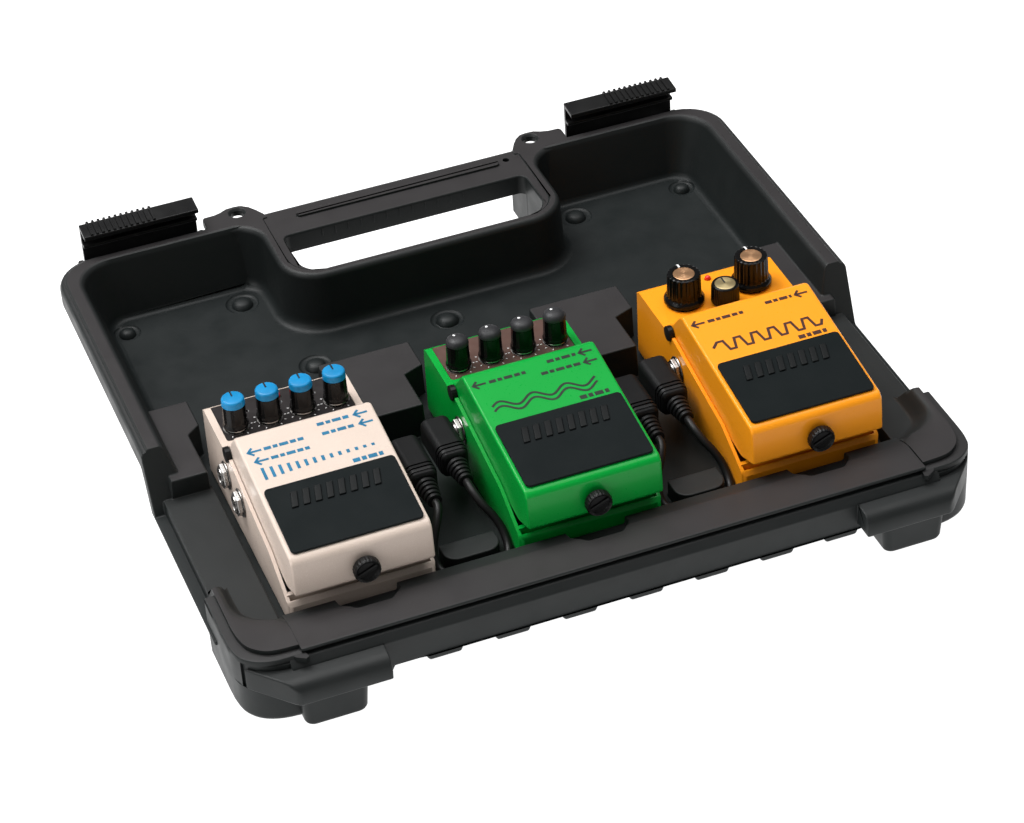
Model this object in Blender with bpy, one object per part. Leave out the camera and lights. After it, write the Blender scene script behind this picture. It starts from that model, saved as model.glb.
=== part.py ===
"""A carrying-case pedalboard that holds three compact effect pedals, joined by two patch cords.

All sizes are in millimetres and the helpers turn them into metres.
Board frame: X runs across the board, Y runs from its front to its handle, Z is up.
X = 0 is the middle of the case, Y = 0 the toes of the pedals, Z = 0 the pedals' undersides.
One empty puts the board frame so that the origin is below the middle of the whole, on the floor.
"""
import math

import bmesh
import bpy
from mathutils import Vector

MM = 0.001
GAP = 0.3            # clearance between pieces that touch
ROUND = 24           # sides of a large round
SMALL_ROUND = 16     # sides of a small round
THROUGH = 60.0       # a cutter's reach past what it cuts

# Overall frame
FLOOR = -18.7                    # what the board stands on
FRONT = -49.5                    # nose of the front lugs
REAR = 291.5                     # tips of the rear ears
Y_CENTRE = (FRONT + REAR) / 2

# Case: rim, tub and floor
RIM_HALF = 182.0
RIM_TOP_HALF = 179.0
RIM_TOP = 32.4
RIM_STEP = 1.5
RIM_BOTTOM = 20.0
RIM_REAR = 281.0
RIM_RADIUS = 22.0
TUB_TOP_HALF = 171.0
TUB_TOP_REAR = 272.5
TUB_TOP_RADIUS = 18.0
TUB_FLOOR_HALF = 162.0
TUB_FLOOR_REAR = 264.8
TUB_FLOOR_RADIUS = 12.0
TUB_FLOOR = -0.3
SKIN = 3.0
BODY_BOTTOM = TUB_FLOOR - SKIN
WALL_TOP_HALF = 174.4
WALL_BOTTOM_HALF = 165.4

# Case: low front deck
DECK_TOP = 8.0
DECK_HALF = 176.5
LIP_TOP = 1.5
LIP_BOTTOM = -0.5
RECESS_HALF = 152.0
RECESS_FRONT = -4.0
DECK_REAR = 103.0
RIM_FRONT = 113.0

# Case: front bar
BAR_FRONT = -34.5
BAR_CREASE = -15.5
BAR_FRONT_TOP = 17.5
BAR_CREASE_TOP = 17.0
BAR_REAR_TOP = 13.0
BAR_HALF = 152.0
LEDGE_TOP = 10.5
SKIRT_FACE = -37.5
SKIRT_BOTTOM = -4.6
SKIRT_HALF = 158.0
NOTCH_HALF = 13.5
NOTCH_FLOOR = 9.4
NOTCH_FRONT = -13.0

# Case: plateaus and slabs between the pedals
PLATEAU_TOP = 18.2
PLATEAU_FRONT = 108.2
PLATEAU_STEP = (134.5, 140.0)
PLATEAU_REAR = 160.8
PLATEAU_NARROW = 13.7
PLATEAU_WIDE = 24.2
SIDE_PLATEAU_FRONT = 101.9
SIDE_PLATEAU_NARROW = 153.0
SIDE_PLATEAU_WIDE = 146.2
SLAB_TOP = 8.0
SLAB_RADIUS = 7.0
SLABS = ((-70.0, -42.5, 5.0, 18.0), (44.0, 69.3, 3.0, 17.6))

# Case: handle
HANDLE_HALF = 77.0
HANDLE_FRONT = 211.5
HANDLE_RADIUS = 22.0
SLOT_HALF = 66.0
SLOT_FRONT = 218.0
SLOT_REAR = 255.2
SLOT_RADIUS = 14.0
HANDLE_BAR_TOP = 31.6

# Case: feet, lugs and ears
FOOT_X = (128.5, 154.5)
FRONT_FOOT_Y = (-45.0, -20.0)
REAR_FOOT_Y = (225.0, 255.0)
LUG_TOP = 10.0
LUG_BOTTOM = -1.5
EAR_TOP = 33.4
EAR_BOTTOM = 24.6
EAR_HOLE = (81.2, 285.0, 4.3)

# Latches
LATCH_X = (102.5, 162.8)
LATCH_AXIS = (286.2, 20.5)
LATCH_REAR = 289.4
LATCH_WEB = 2.4
LATCH_TOP = 45.9
LATCH_TIP = 278.2
LATCH_PIN = 1.6
LATCH_BORE = 2.0
LATCH_BARREL = 2.9
LATCH_EAR = 3.0

# Pedals
PITCH = 111.1
PEDAL_X = {"white": -112.1, "green": -112.1 + PITCH, "orange": -112.1 + 2 * PITCH}
HOUSING_HALF = 35.2
HOUSING_INNER = 33.5
HOUSING_PROFILE = ((0.3, 2.0), (0.0, 12.0), (1.5, 14.0), (24.6, 26.0), (60.0, 33.4), (82.0, 38.3),
                   (122.0, 38.9), (126.0, 36.5), (126.3, 3.5), (125.0, 2.0))
BAY = (2.0, 91.4)
REAR_BAY = (93.4, 124.3)
DECK_UNDERSIDE = 34.7
INNER_DECK = (40.0, 18.0, 20.0)
INNER_DECK_HALF = 21.0
JACK_BAY_TOP = 30.0
PLATE_RECESS = (31.8, 94.7, 123.3, 37.2)
CONTROL_PLATE = (31.5, 95.0, 123.0, 37.5, 38.3)
BASE_PLATE = (34.5, 0.5, 125.5, 0.0, 1.7)
BOARD = (31.0, 44.0, 122.0, 10.0, 11.6)
SWITCH = (4.0, 66.0, 74.0, 24.0)
BOSS_HALF = 7.0
BOSS_Y = (4.0, 8.0)
BOSS_TOP = 34.0
BOSS_SLOT_HALF = 2.9
BOSS_SLOT_FLOOR = 25.0
CROSS_WALL = (4.2, 6.5, 16.0)

# Treadle, its hinge and its screw
TREADLE_HALF = 33.2
TREADLE_SKIN = 2.0
HINGE = (85.5, 38.5)
TREADLE_PROFILE = ((-7.6, 23.7), (-6.2, 41.2), (-4.2, 43.3), (74.0, 54.9), (76.5, 53.5), (84.5, 44.5),
                   (89.2, 41.6), (90.4, 38.0), (89.6, 34.9), (84.0, 34.0), (24.0, 21.5), (6.0, 19.0))
TREADLE_CAVITY = ((-5.4, 10.0), (-4.1, 40.3), (-3.4, 40.9), (73.2, 52.2), (80.4, 44.0), (80.4, 10.0))
PAD_HALF = 31.2
PAD_Y = (-2.5, 38.1)
PAD_THICKNESS = 1.3
PIN_RADIUS = 1.75
PIN_BORE = 2.15
BUSH_RADIUS = 3.8
BUSH_BORE = 4.1
BUSH_END = 36.0
SCREW_Z = 30.8
SCREW_HEAD = (-12.6, -8.3)
SCREW_RADIUS = 6.4
SHANK_RADIUS = 2.2
SHANK_END = 10.0
SHANK_BORE = 2.7
SPRING_Y = 55.0
SPRING_Z = (21.0, 47.4)
SPRING_RADIUS = 5.5
SPRING_WIRE = 0.6
SPRING_TURNS = 4.5

# Knobs: across, along, lower edge, top, radius at the base, radius at the top
SMALL_KNOB_SPACING = 16.5
SMALL_KNOB_Y = 103.7
KNOB_SHAFT = 2.6
KNOB_BORE = 3.0
KNOB_SHAFT_END = 30.0
LED = (0.0, 118.5)
LED_RADIUS = 1.5
LED_BORE = 1.8
LED_TOP = 40.6

# Jacks and plugs
JACK_Z = 23.7
JACK_HOLE = 4.9
JACK_BUSHING = (23.5, 38.9, 4.6)
JACK_NUT = (35.5, 38.3, 6.0)
JACK_BORE = 3.6
JACKS = {"white": ((-1, 89.4, "rear"), (-1, 67.0, "front"), (1, 89.4, "rear"), (1, 67.0, "front")),
         "green": ((-1, 75.0, "only"), (1, 89.0, "rear"), (1, 67.0, "front")),
         "orange": ((-1, 75.0, "only"), (1, 75.0, "only"))}
PLUG_START = 39.2
PLUG_SIDE = 14.4
PLUG_SHAFT_RADIUS = 3.1
PLUG_SHAFT_END = 25.5
PLUG_BODY = 31.0
PLUG_RELIEF = 13.0
RELIEF_RADII = (5.4, 3.4)

# Patch cords: across from the middle of the gap between two pedals, along, up
CORD_DIAMETER = 4.0
CORD_STEP = 5.0
CORD_ROUTE = ((9.15, 37.8, 23.7), (9.15, 34.6, 23.6), (9.7, 30.0, 22.3), (11.8, 24.9, 18.7),
              (15.2, 20.4, 14.0), (17.3, 16.4, 9.6), (17.8, 12.4, 6.0), (17.3, 8.2, 3.5),
              (15.3, 3.9, 2.4), (11.6, 1.0, 2.1), (6.6, 0.0, 2.1), (0.0, -0.1, 2.1),
              (-6.4, 0.2, 2.1), (-11.6, 1.7, 2.1), (-15.2, 4.8, 2.5), (-17.0, 8.6, 4.4),
              (-17.2, 12.0, 8.0), (-16.2, 15.0, 12.3), (-14.2, 17.8, 16.5), (-11.9, 20.6, 20.0),
              (-10.1, 23.8, 22.5), (-9.2, 27.0, 23.6), (-9.15, 29.7, 23.7))

for leftover in list(bpy.data.objects):
    bpy.data.objects.remove(leftover, do_unlink=True)


# ---------------------------------------------------------------- materials

def material(name, colour, roughness, metallic=0.0):
    mat = bpy.data.materials.new(name)
    mat.use_nodes = True
    shader = mat.node_tree.nodes["Principled BSDF"]
    shader.inputs["Base Color"].default_value = (*colour, 1.0)
    shader.inputs["Roughness"].default_value = roughness
    shader.inputs["Metallic"].default_value = metallic
    mat.diffuse_color = (*colour, 1.0)
    return mat


CASE = material("case_plastic", (0.035, 0.034, 0.036), 0.6)
BLACK = material("black_plastic", (0.012, 0.012, 0.013), 0.4)
RUBBER = material("black_rubber", (0.016, 0.016, 0.017), 0.75)
CHROME = material("chrome", (0.75, 0.75, 0.76), 0.15, 1.0)
STEEL = material("zinc_plated_steel", (0.5, 0.5, 0.5), 0.35, 1.0)
COPPER = material("spun_copper", (0.72, 0.42, 0.26), 0.3, 1.0)
GOLD = material("spun_gold", (0.74, 0.56, 0.2), 0.3, 1.0)
RED_LENS = material("red_lens", (0.5, 0.01, 0.01), 0.2)
LAMINATE = material("board_laminate", (0.03, 0.16, 0.06), 0.5)
BROWN = material("brown_panel", (0.1, 0.06, 0.04), 0.45)
PAINTS = {"white": material("pearl_paint", (0.8, 0.72, 0.68), 0.35),
          "green": material("green_paint", (0.0, 0.35, 0.05), 0.35),
          "orange": material("orange_paint", (1.0, 0.38, 0.02), 0.35)}


# ---------------------------------------------------------------- mesh helpers

def at_origin(points, origin):
    return [Vector((p[i] - origin[i]) * MM for i in range(3)) for p in points]


def finish(bm, name, mat, parent, origin=(0.0, 0.0, 0.0), smooth=False):
    """Turn a bmesh, already in metres about its origin, into a named object."""
    bmesh.ops.recalc_face_normals(bm, faces=bm.faces[:])
    mesh = bpy.data.meshes.new(name)
    bm.to_mesh(mesh)
    bm.free()
    mesh.materials.append(mat)
    if smooth:
        mesh.shade_smooth()
        mesh.set_sharp_from_angle(angle=math.radians(35))
    obj = bpy.data.objects.new(name, mesh)
    bpy.context.scene.collection.objects.link(obj)
    obj.parent = parent
    obj.location = Vector(origin) * MM
    return obj


def empty(name, parent, location):
    obj = bpy.data.objects.new(name, None)
    bpy.context.scene.collection.objects.link(obj)
    obj.parent = parent
    obj.location = Vector(location) * MM
    return obj


def loft_into(bm, rings, origin=(0.0, 0.0, 0.0)):
    """Skin between rings with the same number of points, with a flat cap at each end."""
    made = [[bm.verts.new(p) for p in at_origin(ring, origin)] for ring in rings]
    count = len(made[0])
    for low, high in zip(made, made[1:]):
        for i in range(count):
            j = (i + 1) % count
            bm.faces.new((low[i], low[j], high[j], high[i]))
    bm.faces.new(made[0][::-1])
    bm.faces.new(made[-1])


def prism_into(bm, outline, axis, low, high, origin=(0.0, 0.0, 0.0)):
    """Extrude an outline along an axis: (y, z) along X, (x, z) along Y or (x, y) along Z."""
    place = {"X": lambda a, b, t: (t, a, b), "Y": lambda a, b, t: (a, t, b), "Z": lambda a, b, t: (a, b, t)}
    put = place[axis]
    loft_into(bm, [[put(a, b, t) for a, b in outline] for t in (low, high)], origin)


def box_into(bm, x, y, z, origin=(0.0, 0.0, 0.0)):
    prism_into(bm, ((x[0], y[0]), (x[1], y[0]), (x[1], y[1]), (x[0], y[1])), "Z", z[0], z[1], origin)


def turned_into(bm, profile, axis, centre, sides, origin=(0.0, 0.0, 0.0)):
    """Turn (radius, station) points about a line along an axis. A profile off the axis closes on itself."""
    rings = []
    for radius, station in profile:
        count = sides if radius > 0 else 1
        ring = []
        for i in range(count):
            angle = 2 * math.pi * (i + 0.5) / sides
            a = radius * math.cos(angle)
            b = radius * math.sin(angle)
            spot = {"X": (station, centre[0] + a, centre[1] + b),
                    "Y": (centre[0] + a, station, centre[1] + b),
                    "Z": (centre[0] + a, centre[1] + b, station)}[axis]
            ring.append(spot)
        rings.append([bm.verts.new(p) for p in at_origin(ring, origin)])
    pairs = list(zip(rings, rings[1:]))
    if profile[0][0] > 0:
        pairs.append((rings[-1], rings[0]))
    for low, high in pairs:
        for i in range(sides):
            j = (i + 1) % sides
            if len(low) == 1:
                bm.faces.new((low[0], high[j], high[i]))
            elif len(high) == 1:
                bm.faces.new((low[i], low[j], high[0]))
            else:
                bm.faces.new((low[i], low[j], high[j], high[i]))


def rounded_outline(x, y, front_radius, rear_radius, steps):
    """A rectangle in plan with its two front and its two rear corners rounded."""
    corners = ((x[0], y[0], 180, front_radius), (x[1], y[0], 270, front_radius),
               (x[1], y[1], 0, rear_radius), (x[0], y[1], 90, rear_radius))
    points = []
    for cx, cy, start, radius in corners:
        if radius <= 0:
            points.append((cx, cy))
            continue
        mid_x = cx + radius if cx == x[0] else cx - radius
        mid_y = cy + radius if cy == y[0] else cy - radius
        for i in range(steps + 1):
            angle = math.radians(start + 90 * i / steps)
            points.append((mid_x + radius * math.cos(angle), mid_y + radius * math.sin(angle)))
    return points


def lift(outline, z):
    return [(x, y, z) for x, y in outline]


def mirrored(points, side):
    """Points given for the right half, taken to the side asked for (-1 left, 1 right)."""
    return [(side * p[0], *p[1:]) for p in points]


def combine(target, tool, operation):
    tool.hide_render = True
    tool.display_type = "WIRE"
    step = target.modifiers.new(f"{operation.lower()}_{tool.name}", "BOOLEAN")
    step.operation = operation
    step.solver = "EXACT"
    step.object = tool


def tool_prism(target, operation, name, outline, axis, low, high, parent, origin=(0.0, 0.0, 0.0)):
    bm = bmesh.new()
    prism_into(bm, outline, axis, low, high, origin)
    combine(target, finish(bm, name, target.data.materials[0], parent, origin), operation)


def tool_box(target, operation, name, x, y, z, parent, origin=(0.0, 0.0, 0.0)):
    bm = bmesh.new()
    box_into(bm, x, y, z, origin)
    combine(target, finish(bm, name, target.data.materials[0], parent, origin), operation)


def tool_round(target, operation, name, radius, axis, centre, stations, parent, sides=SMALL_ROUND,
               origin=(0.0, 0.0, 0.0)):
    bm = bmesh.new()
    profile = ((0.0, stations[0]), (radius, stations[0]), (radius, stations[1]), (0.0, stations[1]))
    turned_into(bm, profile, axis, centre, sides, origin)
    combine(target, finish(bm, name, target.data.materials[0], parent, origin), operation)


# ---------------------------------------------------------------- case

def rim_outline(half, rear, radius, front):
    return rounded_outline((-half, half), (front, rear), 0.0, radius, 6)


def case_shell(board):
    """The rim slab and the tub's outer body, before anything is hollowed out."""
    bm = bmesh.new()
    inset = RIM_HALF - RIM_TOP_HALF
    outer = rim_outline(RIM_HALF, RIM_REAR, RIM_RADIUS, 4.0)
    upper = rim_outline(RIM_TOP_HALF, RIM_REAR - inset, RIM_RADIUS - inset, 4.0)
    shoulder = RIM_TOP - RIM_STEP
    loft_into(bm, [lift(outer, LIP_BOTTOM), lift(outer, shoulder), lift(upper, shoulder), lift(upper, RIM_TOP)])
    case = finish(bm, "case_base", CASE, board)

    below = ((106.6, -THROUGH), (106.6, LIP_BOTTOM), (115.8, RIM_BOTTOM), (320.0, RIM_BOTTOM), (320.0, -THROUGH))
    tool_prism(case, "DIFFERENCE", "below_rim", below, "X", -200.0, 200.0, board)

    bm = bmesh.new()
    foot = rounded_outline((-WALL_BOTTOM_HALF, WALL_BOTTOM_HALF), (-30.0, 268.2), 0.0, 14.0, 6)
    head = rounded_outline((-WALL_TOP_HALF, WALL_TOP_HALF), (-30.2, 276.4), 0.0, 20.0, 6)
    loft_into(bm, [lift(foot, BODY_BOTTOM), lift(head, RIM_BOTTOM + 1.3)])
    combine(case, finish(bm, "tub_body", CASE, board), "UNION")

    slope = (RIM_FRONT - DECK_REAR) / (RIM_TOP - DECK_TOP)
    foot_y = DECK_REAR - slope * (DECK_TOP - LIP_TOP)
    head_y = RIM_FRONT + slope * THROUGH
    wedge = ((-THROUGH * 2, LIP_TOP), (foot_y, LIP_TOP), (head_y, RIM_TOP + THROUGH),
             (-THROUGH * 2, RIM_TOP + THROUGH))
    tool_prism(case, "DIFFERENCE", "above_deck", wedge, "X", -200.0, 200.0, board)
    tool_box(case, "UNION", "deck", (-DECK_HALF, DECK_HALF), (-20.0, 106.5), (0.2, DECK_TOP), board)
    return case


def front_bar(case, board):
    strip = ((BAR_FRONT, BAR_FRONT_TOP), (BAR_CREASE, BAR_CREASE_TOP), (RECESS_FRONT, BAR_REAR_TOP),
             (RECESS_FRONT, -1.2), (BAR_FRONT, -1.2))
    tool_prism(case, "UNION", "bar", strip, "X", -BAR_HALF, BAR_HALF, board)
    tool_box(case, "UNION", "skirt", (-SKIRT_HALF, SKIRT_HALF), (SKIRT_FACE, -29.2), (SKIRT_BOTTOM, LEDGE_TOP),
             board)


# Raised corner bands: inner and outer edges from the rear tip to the front bar, right-hand side
BAND_FOOT = ((167.4, 30.5, 8.0), (167.4, 18.0, 8.0), (166.6, 11.0, 8.0), (162.4, 4.8, 8.0), (157.4, 1.7, 8.0),
             (152.4, 0.3, 8.0))
BAND_CREST = ((172.8, 21.8, 17.4), (172.8, 12.0, 17.4), (172.0, 3.0, 17.4), (167.3, -4.4, 17.4),
              (160.6, -8.7, 17.4), (152.4, -12.6, 16.4))
BAND_EDGE = ((176.3, 20.6, 18.0), (176.3, 10.0, 18.0), (176.3, -8.0, 18.0), (174.2, -21.5, 18.0),
             (166.0, -29.7, 18.0), (152.4, -31.2, 17.9))
LEG_INNER = ((174.6, 18.6), (174.4, -10.0), (170.4, -21.6), (163.5, -26.6), (156.0, -28.6))
LEG_OUTER = ((180.8, 18.6), (180.8, -12.0), (178.2, -26.2), (169.6, -34.4), (156.0, -37.2))
LEG_TOP = 15.6
LUG_OUTLINE = ((115.5, -36.0), (115.5, -44.6), (118.0, -48.0), (122.0, FRONT), (154.0, FRONT),
               (159.0, -47.0), (171.0, -33.0), (171.0, -24.0))


def band_mesh(lines, bottom):
    """A curved wall whose top runs through lines of varying height, down to a flat bottom."""
    bm = bmesh.new()
    rings = []
    for spots in zip(*lines):
        first, last = spots[0], spots[-1]
        ring = ((first[0], first[1], bottom), *spots, (last[0], last[1], bottom))
        rings.append([bm.verts.new(p) for p in at_origin(ring, (0.0, 0.0, 0.0))])
    size = len(rings[0])
    for here, there in zip(rings, rings[1:]):
        for i in range(size):
            j = (i + 1) % size
            if 0 < i < size - 2:
                bm.faces.new((here[i], here[j], there[j]))
                bm.faces.new((here[i], there[j], there[i]))
            else:
                bm.faces.new((here[i], here[j], there[j], there[i]))
    for ring in (rings[0], rings[-1][::-1]):
        bmesh.ops.triangulate(bm, faces=[bm.faces.new(ring)])
    return bm


def corners_and_feet(case, board):
    for side, word in ((-1, "left"), (1, "right")):
        bm = band_mesh([mirrored(line, side) for line in (BAND_FOOT, BAND_CREST, BAND_EDGE)], 3.1)
        combine(case, finish(bm, f"band_{word}", CASE, board), "UNION")
        inner = lift(mirrored(LEG_INNER, side), LEG_TOP)
        outer = lift(mirrored(LEG_OUTER, side), LEG_TOP)
        bm = band_mesh((inner, outer), FLOOR)
        combine(case, finish(bm, f"leg_{word}", CASE, board), "UNION")
        tool_prism(case, "UNION", f"lug_{word}", mirrored(LUG_OUTLINE, side), "Z", LUG_BOTTOM, LUG_TOP, board)
        across = sorted((side * FOOT_X[0], side * FOOT_X[1]))
        tool_box(case, "UNION", f"front_foot_{word}", across, FRONT_FOOT_Y, (FLOOR, 1.7), board)
        tool_box(case, "UNION", f"rear_foot_{word}", across, REAR_FOOT_Y, (FLOOR, -2.1), board)


def hollows(case, board):
    """The rear tray and the recess that the pedals stand in."""
    bm = bmesh.new()
    rise = RIM_TOP - TUB_FLOOR
    over = (RIM_TOP + THROUGH / 6 - TUB_FLOOR) / rise
    top_half = TUB_FLOOR_HALF + (TUB_TOP_HALF - TUB_FLOOR_HALF) * over
    top_rear = TUB_FLOOR_REAR + (TUB_TOP_REAR - TUB_FLOOR_REAR) * over
    top_radius = TUB_FLOOR_RADIUS + (TUB_TOP_RADIUS - TUB_FLOOR_RADIUS) * over
    foot = rounded_outline((-TUB_FLOOR_HALF, TUB_FLOOR_HALF), (103.4, TUB_FLOOR_REAR), 0.0, TUB_FLOOR_RADIUS, 6)
    head = rounded_outline((-top_half, top_half), (103.3, top_rear), 0.0, top_radius, 6)
    loft_into(bm, [lift(foot, TUB_FLOOR), lift(head, TUB_FLOOR + rise * over)])
    combine(case, finish(bm, "tray", CASE, board), "DIFFERENCE")
    tool_box(case, "DIFFERENCE", "recess", (-RECESS_HALF, RECESS_HALF), (RECESS_FRONT, 120.0),
             (TUB_FLOOR, THROUGH), board)


def handle(case, board):
    arch = rounded_outline((-HANDLE_HALF, HANDLE_HALF), (HANDLE_FRONT, 275.5), HANDLE_RADIUS, 0.0, 6)
    tool_prism(case, "UNION", "arch", arch, "Z", BODY_BOTTOM + 0.2, RIM_TOP - 0.2, board)
    slot = rounded_outline((-SLOT_HALF, SLOT_HALF), (SLOT_FRONT, SLOT_REAR), SLOT_RADIUS, 4.0, 6)
    tool_prism(case, "DIFFERENCE", "slot", slot, "Z", -THROUGH, THROUGH, board)
    tool_box(case, "DIFFERENCE", "under_handle", (-SLOT_HALF + 0.2, SLOT_HALF - 0.2), (SLOT_REAR - 4.0, 300.0),
             (-THROUGH, RIM_BOTTOM + 0.4), board)
    tool_box(case, "DIFFERENCE", "handle_top", (-SLOT_HALF + 0.1, SLOT_HALF - 0.1), (SLOT_REAR - 4.1, 300.0),
             (HANDLE_BAR_TOP, THROUGH), board)


def middle_plateau(centre):
    """Plan outline of a plateau: narrow beside the pedals, wide behind them."""
    half = ((PLATEAU_NARROW, PLATEAU_FRONT), (PLATEAU_NARROW, PLATEAU_STEP[0]),
            (PLATEAU_WIDE, PLATEAU_STEP[1]), (PLATEAU_WIDE, PLATEAU_REAR))
    right = [(centre + across, y) for across, y in half]
    left = [(centre - across, y) for across, y in reversed(half)]
    return right + left


def side_plateau(side):
    wall = 172.2
    outline = ((wall, SIDE_PLATEAU_FRONT), (SIDE_PLATEAU_NARROW, SIDE_PLATEAU_FRONT),
               (SIDE_PLATEAU_NARROW, PLATEAU_STEP[0]), (SIDE_PLATEAU_WIDE, PLATEAU_STEP[1]),
               (SIDE_PLATEAU_WIDE, PLATEAU_REAR), (wall, PLATEAU_REAR))
    return mirrored(outline, side)


def gap_centres():
    xs = list(PEDAL_X.values())
    return [(a + b) / 2 for a, b in zip(xs, xs[1:])]


def plateaus(case, board):
    for i, centre in enumerate(gap_centres()):
        tool_prism(case, "UNION", f"plateau_{i}", middle_plateau(centre), "Z", -1.1, PLATEAU_TOP, board)
    for side, word in ((-1, "left"), (1, "right")):
        tool_prism(case, "UNION", f"plateau_{word}", side_plateau(side), "Z", -1.1, PLATEAU_TOP, board)
    for i, (x0, x1, y0, y1) in enumerate(SLABS):
        slab = rounded_outline((x0, x1), (y0, y1), SLAB_RADIUS, 0.0, 3)
        tool_prism(case, "UNION", f"slab_{i}", slab, "Z", -1.3, SLAB_TOP, board)


def undersides(case, board):
    """The moulding is hollow below its plateaus, its side decks and its front bar."""
    skin = 2.6
    for i, centre in enumerate(gap_centres()):
        tool_box(case, "DIFFERENCE", f"plateau_pocket_{i}",
                 (centre - PLATEAU_NARROW + skin, centre + PLATEAU_NARROW - skin),
                 (PLATEAU_FRONT + skin, PLATEAU_REAR - skin), (-THROUGH, PLATEAU_TOP - skin), board)
    for side, word in ((-1, "left"), (1, "right")):
        rear = sorted((side * (SIDE_PLATEAU_NARROW + skin), side * 162.6))
        deck = sorted((side * (RECESS_HALF + skin), side * 170.6))
        tool_box(case, "DIFFERENCE", f"side_pocket_{word}", rear,
                 (SIDE_PLATEAU_FRONT + 5.0, PLATEAU_REAR - skin), (-THROUGH, PLATEAU_TOP - skin), board)
        tool_box(case, "DIFFERENCE", f"deck_pocket_{word}", deck, (2.0, DECK_REAR - 6.0),
                 (-THROUGH, DECK_TOP - skin), board)
    tool_box(case, "DIFFERENCE", "bar_pocket", (-122.0, 122.0), (BAR_FRONT + 1.0, RECESS_FRONT - skin),
             (-THROUGH, BAR_REAR_TOP - 4.0 - skin), board)


def ears_and_lugs(case, board):
    hole_x, hole_y, hole_radius = EAR_HOLE
    ear = ((70.0, 277.0), (70.6, 282.6), (73.4, 288.4), (78.4, REAR), (86.0, REAR), (98.6, 289.0),
           (99.4, 277.0))
    for side, word in ((-1, "left"), (1, "right")):
        tool_prism(case, "UNION", f"ear_{word}", mirrored(ear, side), "Z", EAR_BOTTOM, EAR_TOP, board)
        tool_round(case, "DIFFERENCE", f"ear_hole_{word}", hole_radius, "Z", (side * hole_x, hole_y),
                   (0.0, THROUGH), board)
        knuckle = ((279.0, 24.6), (279.0, 20.6), (284.0, 15.6), (288.6, 15.6), (290.4, 18.0), (290.4, 23.0),
                   (288.6, 25.4), (284.0, 25.4))
        for end, inner in (("inner", LATCH_X[0] - GAP - LATCH_EAR), ("outer", LATCH_X[1] + GAP)):
            across = sorted((side * inner, side * (inner + LATCH_EAR)))
            tool_prism(case, "UNION", f"knuckle_{end}_{word}", knuckle, "X", across[0], across[1], board)
        across = sorted((side * (LATCH_X[0] - 8.0), side * (LATCH_X[1] + 8.0)))
        tool_round(case, "DIFFERENCE", f"latch_bore_{word}", LATCH_BORE, "X", LATCH_AXIS, across, board, 12)


def notches(case, board):
    """Room for a finger at each pedal's screw, in the bar's rear slope."""
    for name, x in PEDAL_X.items():
        tool_box(case, "DIFFERENCE", f"notch_{name}", (x - NOTCH_HALF, x + NOTCH_HALF), (NOTCH_FRONT, 2.0),
                 (NOTCH_FLOOR, THROUGH), board)


def build_case(board):
    case = case_shell(board)
    front_bar(case, board)
    corners_and_feet(case, board)
    hollows(case, board)
    handle(case, board)
    plateaus(case, board)
    undersides(case, board)
    ears_and_lugs(case, board)
    notches(case, board)


def build_latch(board, side, word):
    """A bar with a hooked top, a turned-in lower rail and a pivot barrel at its foot."""
    x = sorted((side * LATCH_X[0], side * LATCH_X[1]))
    middle = (x[0] + x[1]) / 2
    origin = (middle, *LATCH_AXIS)
    web = LATCH_REAR - LATCH_WEB
    section = ((web, LATCH_AXIS[1]), (LATCH_REAR, LATCH_AXIS[1]), (LATCH_REAR, LATCH_TOP),
               (LATCH_TIP, LATCH_TOP - 1.1), (LATCH_TIP, LATCH_TOP - 3.4), (web, LATCH_TOP - 2.4),
               (web, 36.4), (283.6, 36.4), (283.6, 34.6), (web, 34.6))
    bm = bmesh.new()
    prism_into(bm, section, "X", x[0], x[1], origin)
    latch = finish(bm, f"latch_{word}", BLACK, board, origin, smooth=True)
    tool_round(latch, "UNION", f"latch_barrel_{word}", LATCH_BARREL, "X", LATCH_AXIS,
               (x[0] + 0.1, x[1] - 0.1), board, 12, origin)
    reach = LATCH_EAR + GAP
    tool_round(latch, "UNION", f"latch_pin_{word}", LATCH_PIN, "X", LATCH_AXIS,
               (x[0] - reach, x[1] + reach), board, 12, origin)


# ---------------------------------------------------------------- pedals

def small_knob_spots():
    first = -1.5 * SMALL_KNOB_SPACING
    return [(first + i * SMALL_KNOB_SPACING, SMALL_KNOB_Y) for i in range(4)]


KNOB_NAMES = ("knob_far_left", "knob_left", "knob_right", "knob_far_right")


def small_knob(x, y):
    """(radius, height) profile of a slim knob with its shaft."""
    return (x, y, ((0.0, KNOB_SHAFT_END), (KNOB_SHAFT, KNOB_SHAFT_END), (KNOB_SHAFT, 40.0), (6.2, 40.0),
                   (6.2, 41.4), (5.8, 54.6), (5.2, 55.8), (0.0, 56.0)))


def skirted_knob(x, y):
    return (x, y, ((0.0, KNOB_SHAFT_END), (KNOB_SHAFT, KNOB_SHAFT_END), (KNOB_SHAFT, 39.8), (10.0, 39.8),
                   (10.0, 41.8), (8.5, 43.4), (8.2, 54.6), (7.4, 55.5), (0.0, 55.5)))


def middle_knob(x, y):
    return (x, y, ((0.0, KNOB_SHAFT_END), (KNOB_SHAFT, KNOB_SHAFT_END), (KNOB_SHAFT, 39.8), (7.0, 39.8),
                   (6.8, 49.2), (6.2, 50.0), (0.0, 50.0)))


PEDAL_KNOBS = {
    "white": [(n, small_knob(*p), BLACK) for n, p in zip(KNOB_NAMES, small_knob_spots())],
    "green": [(n, small_knob(*p), BLACK) for n, p in zip(KNOB_NAMES, small_knob_spots())],
    "orange": [("knob_left", skirted_knob(-17.8, 106.3), COPPER),
               ("knob_middle", middle_knob(0.0, 97.4), GOLD),
               ("knob_right", skirted_knob(17.8, 106.3), COPPER)],
}


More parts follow.
